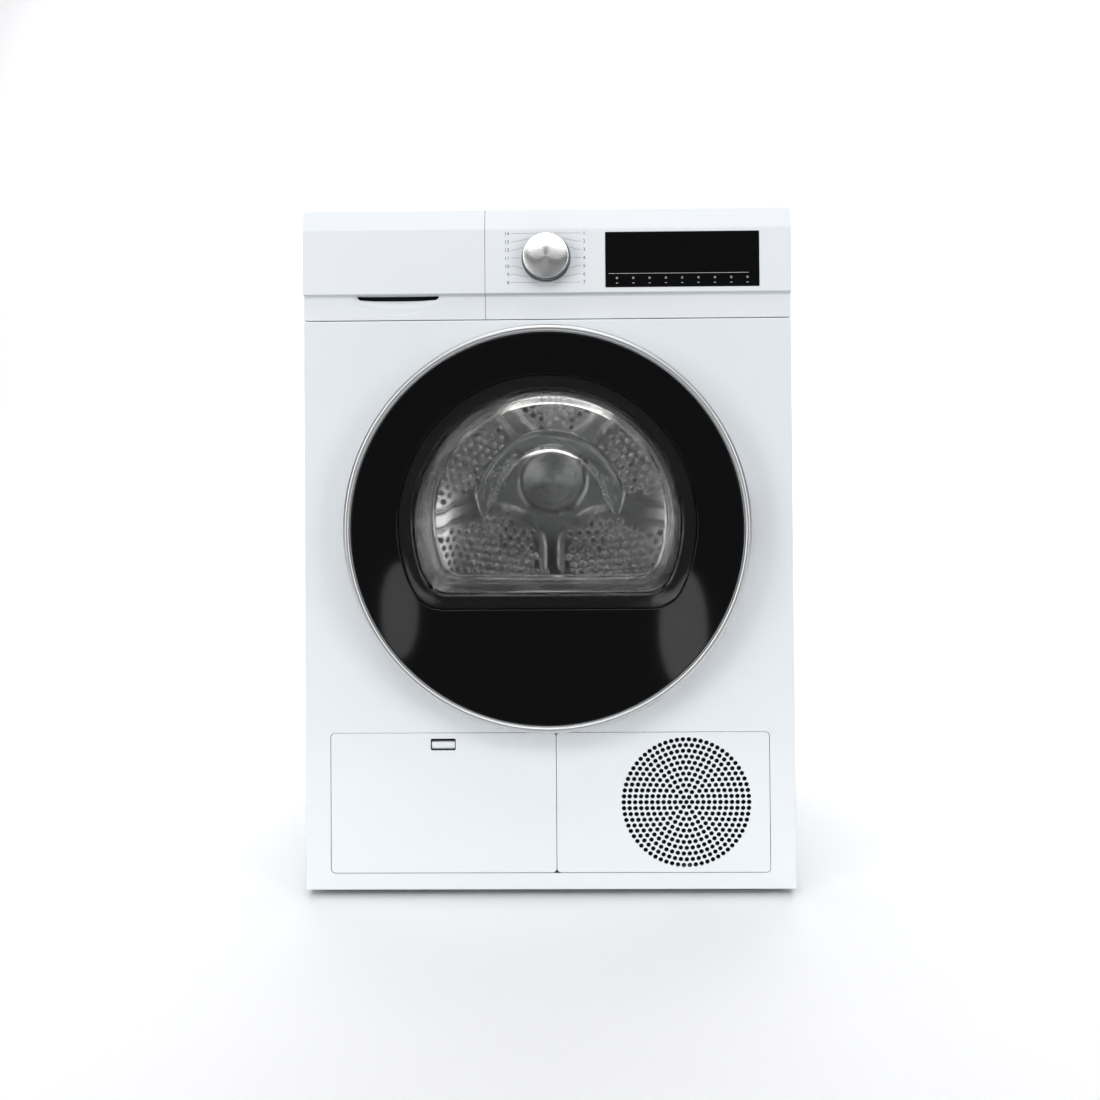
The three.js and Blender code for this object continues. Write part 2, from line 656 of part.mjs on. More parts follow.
// ---------------------------------------------------------------- foot of the front
function lowerFront() {
  const w = lower.width / 2;
  const y0 = panelY;
  const y1 = panelY + lower.thickness;
  const bottom = lower.bottom + fit * 2;
  const top = lower.top - fit * 2;
  const flapMid = (lower.seam - w) / 2;
  const cz = (lower.top + lower.bottom) / 2;

  const latchTop = top - latch.drop;
  const slot = box(flapMid - latch.width / 2, flapMid + latch.width / 2, y0 - 1, y1 + 1,
    latchTop - latch.height, latchTop);
  const edge = 2;
  piece('service_flap', cut(
    alongY(rounded(-w + fit * 2, lower.seam - fit, bottom, top, lower.corner - 1), y0, y1, 4),
    slot,
    box(-w + 20, lower.seam - 20, y0 + edge + 1, y1 + 1, bottom + 20, latchTop - latch.height - 6),
  ), enamel);
  piece('flap_latch', join(
    box(flapMid - latch.width / 2 + fit, flapMid + latch.width / 2 - fit, y0 + 2, y0 + latch.depth,
      latchTop - latch.height + fit, latchTop - fit),
    box(flapMid - 8, flapMid + 8, y0 + latch.depth - 3, y0 + latch.depth,
      latchTop - fit, top - fit)), whitePlastic);
  const holes = [];
  for (let ring = 0; ring <= grille.rings; ring += 1) {
    const count = Math.max(6 * ring, 1);
    for (let i = 0; i < count; i += 1) {
      const t = (2 * Math.PI * i) / count;
      const r = ring * grille.pitch;
      holes.push(circle(grille.centre + r * Math.cos(t), cz + r * Math.sin(t), grille.hole, grille.sides));
    }
  }
  piece('grille_panel', alongY(withHole(
    rounded(lower.seam + fit, w - fit * 2, bottom, top, lower.corner - 1), ...holes,
  ), y0, y0 + wall, 4), whitePlastic);
}

// ---------------------------------------------------------------- drive
const beltY = drumFrontY + drumSize.length * 0.55;
const motorY = beltY + 20; // front of the motor's body
const blowerY = rearBulkheadY + wall + 20; // front of the blower housing

function drive() {
  const m = motorSize;
  const circles = [[0, drumZ, drumRadius], [m.x, m.z, m.pulley], [idlerSize.x, idlerSize.z, idlerSize.radius]];
  const loop = withHole(wrap(circles, belt.clearance + belt.thickness), wrap(circles, belt.clearance));
  piece('drum_belt', alongY(loop, beltY - belt.width / 2, beltY + belt.width / 2), rubber);

  const a = idlerSize;
  const spot = at(m.x, 0, m.z);
  const floor = casingBottom + base.floor + fit - m.z;
  const pivotX = a.x - a.arm - m.x;
  const pivotZ = a.z - m.z;
  piece('motor', cut(join(
    rodY(m.radius, motorY, motorY + m.length, 32),
    box(-m.radius, m.radius, motorY + 8, motorY + m.length - 8, floor, -20),
    box(pivotX - 14, 0, motorY + 8, motorY + 30, floor, floor + 4),
    box(pivotX - 14, pivotX + 14, motorY, motorY + 9, floor, pivotZ + 12),
    rodY(a.bore, beltY + 15 + fit, motorY + 1, 16).translate(pivotX, 0, pivotZ)),
  rodY(m.shaft + fit, motorY - 5, motorY + m.length + 5, 16)), darkPlastic, spot);
  piece('motor_shaft', join(
    rodY(m.shaft, beltY - 12, blowerY + blower.width / 2 + 4, 16),
    tubeY(m.pulley, m.shaft - 1, beltY - 9, beltY + 9, 24)), galvanised, spot);

  const reach = blowerY + blower.width;
  const impeller = cut(rodY(blower.radius, blowerY + 6, reach - 5, 32),
    tubeY(blower.radius - 8, 20, blowerY, reach - 10, 32));
  const blades = Array.from({ length: 12 }, (_, i) =>
    box(18, blower.radius - 6, blowerY + 8, reach - 8, -1, 1).rotateY((i * Math.PI) / 6));
  piece('blower_impeller', cut(join(impeller, ...blades),
    rodY(m.shaft + fit, blowerY - 5, reach + 5, 16)), darkPlastic, spot);
  const r = blower.radius + blower.clearance;
  const half = blower.outlet / 2;
  const ceiling = drumZ - 230 - m.z;
  const outer = join(rodY(r + wall, blowerY, reach + wall, 32),
    box(-half - wall, half + wall, blowerY, reach + wall, 0, ceiling));
  const inner = join(rodY(r, blowerY + wall, reach, 32),
    box(-half, half, blowerY + wall, reach, 0, ceiling + 1));
  piece('blower_housing', cut(outer, inner,
    rodY(blower.radius * 0.62, blowerY - 1, blowerY + wall + 1, 32)), greyPlastic, spot);

  const pulley = at(a.x, 0, a.z);
  piece('idler_pulley', tubeY(a.radius, a.bore + fit, beltY - 8, beltY + 8, 24), darkPlastic, pulley);
  piece('tensioner_arm', join(
    box(-a.arm, 6, beltY + 10, beltY + 13, -7, 7),
    rodY(8, beltY + 9, beltY + 15, 16).translate(-a.arm, 0, 0),
    rodY(a.bore, beltY - 9, beltY + 12, 16)), galvanised, pulley);
}

// ---------------------------------------------------------------- air path and heat pump
function heatPump() {
  const floor = casingBottom + base.floor + fit;
  const ductOuter = join(rodY(206, rearBulkheadY + wall + 14, rearY - sheet - 6, 48),
    box(motorSize.x - 60, motorSize.x + 60, rearBulkheadY + wall + 14, rearY - sheet - 6,
      -230 + fit, -100));
  const ductInner = join(rodY(206 - wall, rearBulkheadY + wall, rearY - sheet - 6 - wall, 48),
    box(motorSize.x - 60 + wall, motorSize.x + 60 - wall, rearBulkheadY + wall + 14 + wall,
      rearY - sheet - 6 - wall, -240, -100));
  piece('rear_air_duct', cut(ductOuter, ductInner), greyPlastic, at(0, 0, drumZ));

  piece('compressor', join(
    turnedUp([[0, 12], [50, 12], [58, 24], [58, 132], [40, 150], [0, 156]], 32),
    box(-62, 62, -50, 50, 8, 12),
    ...[[-52, -40], [52, -40], [-52, 40], [52, 40]].map(([x, y]) =>
      turnedUp([[0, 0], [8, 0], [8, 9], [0, 9]], 12).translate(x, y, 0))),
  darkPlastic, at(204, behindPanel + 110, floor));

  const coil = (name, y0, y1) => {
    const fins = Array.from({ length: 9 }, (_, i) =>
      box(-232 + i * 16, -224 + i * 16, y0 - 1, y1 + 1, floor + 14, floor + 132));
    piece(name, cut(box(-240, -88, y0, y1, floor + 8, floor + 140), ...fins.filter((_, i) => i % 2)),
      copper);
  };
  coil('evaporator', behindPanel + 60, behindPanel + 150);
  coil('condenser', behindPanel + 170, behindPanel + 290);
  const lid = floor + exchangerHeight;
  const duct = box(-250, -76, behindPanel + 52, behindPanel + 300, floor + 4, lid);
  const hollow = box(-246, -80, behindPanel + 52 + wall, behindPanel + 300 - wall, floor,
    lid - wall);
  piece('heat_exchanger_cover', cut(duct, hollow), greyPlastic);
  piece('condensate_pump', join(
    box(-200, -140, rearY - 130, rearY - 80, floor, floor + 60),
    rodY(14, 0, 40, 16).rotateX(Math.PI / 2).translate(-170, rearY - 105, floor + 55)), darkPlastic);
}

casing();
controls();
drawer();
doorWithHinge();
bulkheads();
drum();
lowerFront();
drive();
heatPump();

export default dryer;
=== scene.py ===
"""Front-loading heat-pump tumble dryer: looks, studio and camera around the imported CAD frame."""

import json
import logging
import math
from dataclasses import dataclass, field
from enum import Enum
from typing import Iterable, Sequence

import bpy
from mathutils import Matrix, Vector


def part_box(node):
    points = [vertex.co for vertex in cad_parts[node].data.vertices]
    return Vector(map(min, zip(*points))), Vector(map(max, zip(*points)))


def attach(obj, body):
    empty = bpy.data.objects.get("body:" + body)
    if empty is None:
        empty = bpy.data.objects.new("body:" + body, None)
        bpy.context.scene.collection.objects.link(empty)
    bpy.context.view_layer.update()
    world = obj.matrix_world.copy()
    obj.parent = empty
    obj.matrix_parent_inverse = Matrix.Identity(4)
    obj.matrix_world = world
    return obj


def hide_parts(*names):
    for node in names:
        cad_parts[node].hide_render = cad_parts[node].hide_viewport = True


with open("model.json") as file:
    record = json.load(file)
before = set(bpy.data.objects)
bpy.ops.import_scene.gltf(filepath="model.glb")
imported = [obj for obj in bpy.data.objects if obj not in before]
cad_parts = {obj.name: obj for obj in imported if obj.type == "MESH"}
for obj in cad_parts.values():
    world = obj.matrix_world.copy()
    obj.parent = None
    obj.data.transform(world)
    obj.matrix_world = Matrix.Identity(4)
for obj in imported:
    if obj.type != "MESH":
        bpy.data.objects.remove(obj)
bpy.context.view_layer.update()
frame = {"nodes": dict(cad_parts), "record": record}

log = logging.getLogger("dryer")
Colour = tuple[float, float, float]
Point = tuple[float, float]
Piece = bpy.types.Object
MM = 0.001
CORE = 0.0004  # radius of the pinhole that a turned piece closes over
PAST = 0.01  # how far a cutter runs past the face that it cuts


class Grain(Enum):
    """Direction in which a metal is brushed."""

    SPUN = "spun"
    STRAIGHT = "straight"


# ---------------------------------------------------------------- shared shader groups
def new_group(name: str, inputs: dict[str, float], outputs: dict[str, str]) -> bpy.types.NodeTree:
    """Make an empty shader group with float inputs and typed outputs.

    Args:
        name: Name of the group.
        inputs: Input names with their default values.
        outputs: Output names with their socket types.

    Returns:
        The new node tree, with its Group Input and Group Output nodes.
    """
    tree = bpy.data.node_groups.new(name, "ShaderNodeTree")
    for label, value in inputs.items():
        socket = tree.interface.new_socket(label, in_out="INPUT", socket_type="NodeSocketFloat")
        socket.default_value = value
    for label, kind in outputs.items():
        tree.interface.new_socket(label, in_out="OUTPUT", socket_type=kind)
    tree.nodes.new("NodeGroupInput").name = "in"
    tree.nodes.new("NodeGroupOutput").name = "out"
    return tree


class ShaderGroups:
    """Shader groups that several finishes share, each built once."""

    def __init__(self) -> None:
        """Build every group."""
        self.skin = self._skin()
        self.brushing = self._brushing()
        self.handling = self._handling()

    @staticmethod
    def _noise(tree: bpy.types.NodeTree, vector: bpy.types.NodeSocket, scale: float,
               detail: float = 2.0) -> bpy.types.NodeSocket:
        """Add a noise texture and return its value output."""
        node = tree.nodes.new("ShaderNodeTexNoise")
        node.inputs["Scale"].default_value = scale
        node.inputs["Detail"].default_value = detail
        tree.links.new(vector, node.inputs["Vector"])
        return node.outputs["Fac"]

    def _skin(self) -> bpy.types.NodeTree:
        """Moulded or sprayed skin: a fine peel in the height and a slow drift in the tone."""
        tree = new_group("surface skin", {"Peel Scale": 900.0, "Drift": 0.03},
                         {"Height": "NodeSocketFloat", "Tone": "NodeSocketFloat"})
        source, sink = tree.nodes["in"], tree.nodes["out"]
        coords = tree.nodes.new("ShaderNodeTexCoord").outputs["Object"]
        peel = tree.nodes.new("ShaderNodeTexNoise")
        peel.inputs["Detail"].default_value = 3.0
        tree.links.new(coords, peel.inputs["Vector"])
        tree.links.new(source.outputs["Peel Scale"], peel.inputs["Scale"])
        tree.links.new(peel.outputs["Fac"], sink.inputs["Height"])
        drift = tree.nodes.new("ShaderNodeMath")
        drift.operation = "MULTIPLY_ADD"
        tree.links.new(self._noise(tree, coords, 5.0), drift.inputs[0])
        tree.links.new(source.outputs["Drift"], drift.inputs[1])
        drift.inputs[2].default_value = 1.0
        tree.links.new(drift.outputs[0], sink.inputs["Tone"])
        return tree

    def _brushing(self) -> bpy.types.NodeTree:
        """Fine scratches, straight or spun about the Y axis through a centre."""
        tree = new_group("brushing", {"Centre X": 0.0, "Centre Z": 0.0, "Spun": 1.0,
                                      "Density": 900.0}, {"Scratch": "NodeSocketFloat"})
        source, sink = tree.nodes["in"], tree.nodes["out"]
        coords = tree.nodes.new("ShaderNodeTexCoord").outputs["Object"]
        centre = tree.nodes.new("ShaderNodeCombineXYZ")
        tree.links.new(source.outputs["Centre X"], centre.inputs["X"])
        tree.links.new(source.outputs["Centre Z"], centre.inputs["Z"])
        local = tree.nodes.new("ShaderNodeVectorMath")
        local.operation = "SUBTRACT"
        tree.links.new(coords, local.inputs[0])
        tree.links.new(centre.outputs[0], local.inputs[1])
        flat = tree.nodes.new("ShaderNodeVectorMath")
        flat.operation = "MULTIPLY"
        flat.inputs[1].default_value = (1.0, 0.0, 1.0)
        tree.links.new(local.outputs[0], flat.inputs[0])
        reach = tree.nodes.new("ShaderNodeVectorMath")
        reach.operation = "LENGTH"
        tree.links.new(flat.outputs[0], reach.inputs[0])
        split = tree.nodes.new("ShaderNodeSeparateXYZ")
        tree.links.new(local.outputs[0], split.inputs[0])
        pick = tree.nodes.new("ShaderNodeMix")
        tree.links.new(source.outputs["Spun"], pick.inputs["Factor"])
        tree.links.new(split.outputs["Z"], pick.inputs["A"])
        tree.links.new(reach.outputs["Value"], pick.inputs["B"])
        noise = tree.nodes.new("ShaderNodeTexNoise")
        noise.noise_dimensions = "1D"
        noise.inputs["Detail"].default_value = 4.0
        tree.links.new(pick.outputs["Result"], noise.inputs["W"])
        tree.links.new(source.outputs["Density"], noise.inputs["Scale"])
        tree.links.new(noise.outputs["Fac"], sink.inputs["Scratch"])
        return tree

    def _handling(self) -> bpy.types.NodeTree:
        """Roughness with soft smears, as a surface that hands and cloths have touched."""
        tree = new_group("handling", {"Roughness": 0.3, "Smear": 0.05},
                         {"Roughness": "NodeSocketFloat"})
        source, sink = tree.nodes["in"], tree.nodes["out"]
        coords = tree.nodes.new("ShaderNodeTexCoord").outputs["Object"]
        smear = tree.nodes.new("ShaderNodeMath")
        smear.operation = "MULTIPLY_ADD"
        tree.links.new(self._noise(tree, coords, 14.0, 4.0), smear.inputs[0])
        tree.links.new(source.outputs["Smear"], smear.inputs[1])
        tree.links.new(source.outputs["Roughness"], smear.inputs[2])
        tree.links.new(smear.outputs[0], sink.inputs["Roughness"])
        return tree


# ---------------------------------------------------------------- finishes
@dataclass(frozen=True)
class Finish:
    """One procedural finish.

    Attributes:
        name: Name of the material.
        colour: Linear base colour.
        roughness: Mean roughness.
        smear: Added roughness where the surface has been touched.
        metallic: Metallic value.
        peel: Depth of the surface's peel, in millimetres of bump distance.
        peel_scale: Scale of the peel's noise.
        drift: Slow change of tone over the surface.
        coat: Weight of a clear coat.
        grain: Brushing direction, or None.
        centre: Centre of spun brushing, in X and Z.
        density: Number of scratches over a unit.
        scratch: How far the scratches change the colour and roughness.
        anisotropy: Anisotropy of the reflections.
        specular: Specular level.
    """

    name: str
    colour: Colour
    roughness: float = 0.35
    smear: float = 0.05
    metallic: float = 0.0
    peel: float = 0.02
    peel_scale: float = 900.0
    drift: float = 0.03
    coat: float = 0.0
    grain: Grain | None = None
    centre: Point = (0.0, 0.0)
    density: float = 900.0
    scratch: float = 0.12
    anisotropy: float = 0.0
    specular: float = 0.5

    def material(self, groups: ShaderGroups) -> bpy.types.Material:
        """Build the material.

        Args:
            groups: The shared shader groups.

        Returns:
            The finished material.
        """
        mat = bpy.data.materials.new(self.name)
        mat.use_nodes = True
        tree = mat.node_tree
        shader = tree.nodes["Principled BSDF"]
        shader.inputs["Metallic"].default_value = self.metallic
        shader.inputs["Specular IOR Level"].default_value = self.specular
        shader.inputs["Coat Weight"].default_value = self.coat
        shader.inputs["Coat Roughness"].default_value = 0.04
        skin = self._place(tree, groups.skin, {"Peel Scale": self.peel_scale, "Drift": self.drift})
        rough = self._place(tree, groups.handling,
                            {"Roughness": self.roughness, "Smear": self.smear})
        tone = tree.nodes.new("ShaderNodeMix")
        tone.data_type = "RGBA"
        tone.blend_type = "MULTIPLY"
        tone.inputs["Factor"].default_value = 1.0
        tone.inputs[6].default_value = (*self.colour, 1.0)
        tree.links.new(skin.outputs["Tone"], tone.inputs[7])
        bump = tree.nodes.new("ShaderNodeBump")
        bump.inputs["Distance"].default_value = self.peel * MM
        tree.links.new(skin.outputs["Height"], bump.inputs["Height"])
        tree.links.new(bump.outputs["Normal"], shader.inputs["Normal"])
        if self.grain is None:
            tree.links.new(tone.outputs[2], shader.inputs["Base Color"])
            tree.links.new(rough.outputs["Roughness"], shader.inputs["Roughness"])
        else:
            self._brush(tree, shader, groups, tone.outputs[2], rough.outputs["Roughness"])
        return mat

    def _place(self, tree: bpy.types.NodeTree, group: bpy.types.NodeTree,
               values: dict[str, float]) -> bpy.types.Node:
        """Put a shared group in a material with its own values."""
        node = tree.nodes.new("ShaderNodeGroup")
        node.node_tree = group
        for label, value in values.items():
            node.inputs[label].default_value = value
        return node

    def _brush(self, tree: bpy.types.NodeTree, shader: bpy.types.Node, groups: ShaderGroups,
               colour: bpy.types.NodeSocket, roughness: bpy.types.NodeSocket) -> None:
        """Lead the colour and roughness through the brushing scratches.

        Args:
            tree: The material's node tree.
            shader: Its Principled shader.
            groups: The shared shader groups.
            colour: The base colour without scratches.
            roughness: The roughness without scratches.
        """
        lines = self._place(tree, groups.brushing, {
            "Centre X": self.centre[0], "Centre Z": self.centre[1],
            "Spun": 1.0 if self.grain is Grain.SPUN else 0.0, "Density": self.density})
        shader.inputs["Anisotropic"].default_value = self.anisotropy
        if self.grain is Grain.SPUN:
            tangent = tree.nodes.new("ShaderNodeTangent")
            tangent.direction_type, tangent.axis = "RADIAL", "Y"
            tree.links.new(tangent.outputs["Tangent"], shader.inputs["Tangent"])
        spread = tree.nodes.new("ShaderNodeMapRange")
        spread.inputs["To Min"].default_value = 1.0 - self.scratch
        spread.inputs["To Max"].default_value = 1.0 + self.scratch
        tree.links.new(lines.outputs["Scratch"], spread.inputs["Value"])
        tint = tree.nodes.new("ShaderNodeMix")
        tint.data_type = "RGBA"
        tint.blend_type = "MULTIPLY"
        tint.inputs["Factor"].default_value = 1.0
        tree.links.new(colour, tint.inputs[6])
        tree.links.new(spread.outputs["Result"], tint.inputs[7])
        tree.links.new(tint.outputs[2], shader.inputs["Base Color"])
        wear = tree.nodes.new("ShaderNodeMath")
        wear.operation = "MULTIPLY"
        tree.links.new(roughness, wear.inputs[0])
        tree.links.new(spread.outputs["Result"], wear.inputs[1])
        tree.links.new(wear.outputs[0], shader.inputs["Roughness"])


@dataclass(frozen=True)
class Glass(Finish):
    """Clear moulded glass."""

    ior: float = 1.5

    def material(self, groups: ShaderGroups) -> bpy.types.Material:
        """Build the clear material.

        Args:
            groups: The shared shader groups.

        Returns:
            The finished material.
        """
        mat = super().material(groups)
        shader = mat.node_tree.nodes["Principled BSDF"]
        shader.inputs["Transmission Weight"].default_value = 1.0
        shader.inputs["IOR"].default_value = self.ior
        return mat


# ---------------------------------------------------------------- the bench
@dataclass(frozen=True)
class Span:
    """Lowest and highest corner of a CAD node at rest."""

    lo: Vector
    hi: Vector

    @classmethod
    def of(cls, node: str) -> "Span":
        """Read a node's box from the frame."""
        lo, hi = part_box(node)
        return cls(Vector(lo), Vector(hi))

    @property
    def mid(self) -> Vector:
        """Middle of the box."""
        return (self.lo + self.hi) / 2

    @property
    def size(self) -> Vector:
        """Lengths of the box's sides."""
        return self.hi - self.lo

    @property
    def axis(self) -> Vector:
        """Point at the frame's Y origin on the line through the middle along Y."""
        return Vector((self.mid.x, 0, self.mid.z))

    def outline(self, radius: float, grow: float = 0.0) -> list[Point]:
        """Rounded front outline in X and Z, grown on every side by a distance."""
        return rounded((self.lo.x - grow, self.lo.z - grow), (self.hi.x + grow, self.hi.z + grow), radius)


class Bench:
    """Modelling steps, each done on one piece with Blender's own operators."""

    @staticmethod
    def clear() -> None:
        """Leave edit mode and deselect everything."""
        if bpy.context.mode != "OBJECT":
            bpy.ops.object.mode_set(mode="OBJECT")
        bpy.ops.object.select_all(action="DESELECT")

    def take(self, piece: Piece) -> None:
        """Make one piece selected and active."""
        self.clear()
        piece.select_set(True)
        bpy.context.view_layer.objects.active = piece

    def settle(self, piece: Piece, name: str) -> Piece:
        """Name a piece and put its place into its mesh."""
        self.take(piece)
        bpy.ops.object.transform_apply(location=True, rotation=True, scale=True)
        piece.name = name
        return piece

    def block(self, name: str, lo: Sequence[float], hi: Sequence[float]) -> Piece:
        """Add a block between two corners.

        Args:
            name: Name of the piece.
            lo: Lowest corner.
            hi: Highest corner.

        Returns:
            The block.
        """
        low, high = Vector(lo), Vector(hi)
        self.clear()
        bpy.ops.mesh.primitive_cube_add(size=1.0, location=(low + high) / 2)
        bpy.context.object.scale = high - low
        return self.settle(bpy.context.object, name)

    def wrapped(self, name: str, loops: Sequence[Sequence[Vector]], ring: bool = False) -> Piece:
        """Wrap a grid round closed sections and fill its ends.

        Args:
            name: Name of the piece.
            loops: Closed sections with the same number of points.
            ring: Whether the last section meets the first.

        Returns:
            The closed piece.
        """
        rows = [*loops, loops[0]] if ring else list(loops)
        self.clear()
        bpy.ops.mesh.primitive_grid_add(x_subdivisions=len(rows[0]), y_subdivisions=len(rows) - 1)
        piece = bpy.context.object
        places = [point for row in rows for point in [*row, row[0]]]
        for vert, place in zip(piece.data.vertices, places, strict=True):
            vert.co = place
        bpy.ops.object.mode_set(mode="EDIT")
        bpy.ops.mesh.select_all(action="SELECT")
        bpy.ops.mesh.remove_doubles(threshold=1e-6)
        bpy.ops.mesh.fill_holes(sides=0)
        bpy.ops.mesh.select_all(action="SELECT")
        bpy.ops.mesh.normals_make_consistent(inside=False)
        return self.settle(piece, name)

    def turned(self, name: str, profile: Sequence[Point], centre: Vector, steps: int = 96,
               ring: bool = False, upright: bool = False) -> Piece:
        """Turn a profile about the Y axis, or about Z for an upright piece.

        Args:
            name: Name of the piece.
            profile: Radius and place along the axis of each corner.
            centre: A point on the axis; its place along the axis is added to the profile.
            steps: Number of sides.
            ring: Whether the profile closes on itself.
            upright: Whether the axis is Z.

        Returns:
            The turned piece.
        """
        turns = [2 * math.pi * i / steps for i in range(steps)]
        loops = []
        for radius, along in profile:
            if upright:
                loop = [Vector((radius * math.cos(t), radius * math.sin(t), along)) for t in turns]
            else:
                loop = [Vector((radius * math.cos(t), along, radius * math.sin(t))) for t in turns]
            loops.append([centre + point for point in loop])
        return self.wrapped(name, loops, ring)

    def rod(self, name: str, radius: float, y0: float, y1: float, centre: Vector,
            steps: int) -> Piece:
        """Make a rod along Y between two depths."""
        profile = [(CORE, y0), (radius, y0), (radius, y1), (CORE, y1)]
        return self.turned(name, profile, centre, steps)

    def plate(self, name: str, outline: Sequence[Point], y0: float, y1: float) -> Piece:
        """Make a flat plate from an outline in X and Z, between two depths."""
        return self.wrapped(name, [[Vector((x, y, z)) for x, z in outline] for y in (y0, y1)])

    def bar(self, name: str, outline: Sequence[Point], x0: float, x1: float) -> Piece:
        """Make a straight bar from an outline in Y and Z, between two places in X."""
        return self.wrapped(name, [[Vector((x, y, z)) for y, z in outline] for x in (x0, x1)])

    def modify(self, piece: Piece, kind: str, **settings: object) -> Piece:
        """Add a modifier with its settings and apply it."""
        self.take(piece)
        modifier = piece.modifiers.new(kind.title(), kind)
        for label, value in settings.items():
            setattr(modifier, label, value)
        bpy.ops.object.modifier_apply(modifier=modifier.name)
        return piece

    def bevel(self, piece: Piece, width: float, segments: int = 3, angle: float = 35.0) -> Piece:
        """Round the edges sharper than an angle in degrees."""
        return self.modify(piece, "BEVEL", width=width, segments=segments, limit_method="ANGLE",
                           angle_limit=math.radians(angle), harden_normals=False)

    def cut(self, piece: Piece, *cutters: Piece) -> Piece:
        """Cut other pieces out of a piece and throw them away."""
        for cutter in cutters:
            self.modify(piece, "BOOLEAN", object=cutter, operation="DIFFERENCE", solver="EXACT")
            bpy.data.meshes.remove(cutter.data)
        return piece

    def repeat(self, piece: Piece, places: Iterable[Vector]) -> Piece:
        """Copy a piece to each place, give each copy its own mesh and join them.

        Args:
            piece: The piece, modelled round the frame's origin.
            places: Shift of each copy.

        Returns:
            The joined piece.
        """
        copies = []
        for place in places:
            copy = piece.copy()
            copy.data = piece.data.copy()
            copy.location = place
            bpy.context.collection.objects.link(copy)
            copies.append(copy)
        self.clear()
        for copy in copies:
            copy.select_set(True)
        bpy.context.view_layer.objects.active = copies[0]
        bpy.ops.object.join()
        joined = bpy.context.object
        name = piece.name
        bpy.data.meshes.remove(piece.data)
        return self.settle(joined, name)

    def join(self, name: str, pieces: Sequence[Piece]) -> Piece:
        """Join several pieces into one."""
        self.clear()
        for piece in pieces:
            piece.select_set(True)
        bpy.context.view_layer.objects.active = pieces[0]
        bpy.ops.object.join()
        return self.settle(bpy.context.object, name)

    def trim(self, piece: Piece, point: Vector, normal: Vector) -> Piece:
        """Cut off everything on the far side of a plane and close the cut."""
        self.take(piece)
        bpy.ops.object.mode_set(mode="EDIT")
        bpy.ops.mesh.select_all(action="SELECT")
        bpy.ops.mesh.bisect(plane_co=point, plane_no=normal, use_fill=True, clear_outer=True)
        self.clear()
        return piece

    def print_bar(self, name: str, start: Point, end: Point, width: float, face: float) -> Piece:
        """Print a thin line on a face, from one place in X and Z to another."""
        along = Vector(end) - Vector(start)
        across = Vector((-along.y, along.x)).normalized() * width / 2
        corners = [Vector(start) + across, Vector(start) - across, Vector(end) - across,
                   Vector(end) + across]
        return self.plate(name, [(c.x, c.y) for c in corners], face - 0.08 * MM, face + 0.05 * MM)

    def text(self, body: str, place: Point, size: float, face: float, align: str) -> Piece:
        """Print a short text on a face.

        Args:
            body: The text.
            place: Start or end of its base line, in X and Z.
            size: Height of the letters' line.
            face: Place of the face in Y.
            align: "LEFT" or "RIGHT".

        Returns:
            The text as a closed mesh.
        """
        self.clear()
        bpy.ops.object.text_add(location=(place[0], face - 0.02 * MM, place[1]),
                                rotation=(math.pi / 2, 0, 0))
        letters = bpy.context.object
        letters.data.body = body
        letters.data.size = size
        letters.data.extrude = 0.06 * MM
        letters.data.resolution_u = 3
        letters.data.align_x = align
        bpy.ops.object.convert(target="MESH")
        return self.settle(bpy.context.object, "number")

    def smooth(self, piece: Piece, angle: float = 35.0) -> Piece:
        """Shade a piece smoothly across the edges flatter than an angle in degrees."""
        self.take(piece)
        bpy.ops.object.shade_smooth_by_angle(angle=math.radians(angle))
        return piece

    def polish(self, piece: Piece, angle: float = 35.0) -> Piece:
        """Shade a piece smoothly and keep its large flat faces flat."""
        return self.modify(self.smooth(piece, angle), "WEIGHTED_NORMAL", keep_sharp=True,
                           weight=100)


def arc(cx: float, cz: float, radius: float, start: float, end: float, steps: int) -> list[Point]:
    """Points along an arc, with both ends.

    Args:
        cx: Centre in the first direction.
        cz: Centre in the second direction.
        radius: Radius of the arc.
        start: First angle, in radians.
        end: Last angle, in radians.
        steps: Number of steps.

    Returns:
        The points in order.
    """
    angles = (start + (end - start) * i / steps for i in range(steps + 1))
    return [(cx + radius * math.cos(t), cz + radius * math.sin(t)) for t in angles]


def rounded(lo: Point, hi: Point, radius: float, steps: int = 6) -> list[Point]:
    """Rectangle with rounded corners.

    Args:
        lo: Lowest corner.
        hi: Highest corner.
        radius: Corner radius.
        steps: Steps round each corner.

    Returns:
        The outline's points.
    """
    quarter = math.pi / 2
    corners = [(hi[0] - radius, hi[1] - radius), (lo[0] + radius, hi[1] - radius),
               (lo[0] + radius, lo[1] + radius), (hi[0] - radius, lo[1] + radius)]
    return [point for i, (x, z) in enumerate(corners)
            for point in arc(x, z, radius, i * quarter, (i + 1) * quarter, steps)]


def ring_outline(cx: float, cz: float, radius: float, steps: int) -> list[Point]:
    """Closed circle as an outline."""
    return arc(cx, cz, radius, 0.0, 2 * math.pi * (1 - 1 / steps), steps - 1)


def steps_from(x: float, y: float, *steps: Point) -> list[Point]:
    """Points at distances in millimetres from one place."""
    return [(x + dx * MM, y + dy * MM) for dx, dy in steps]


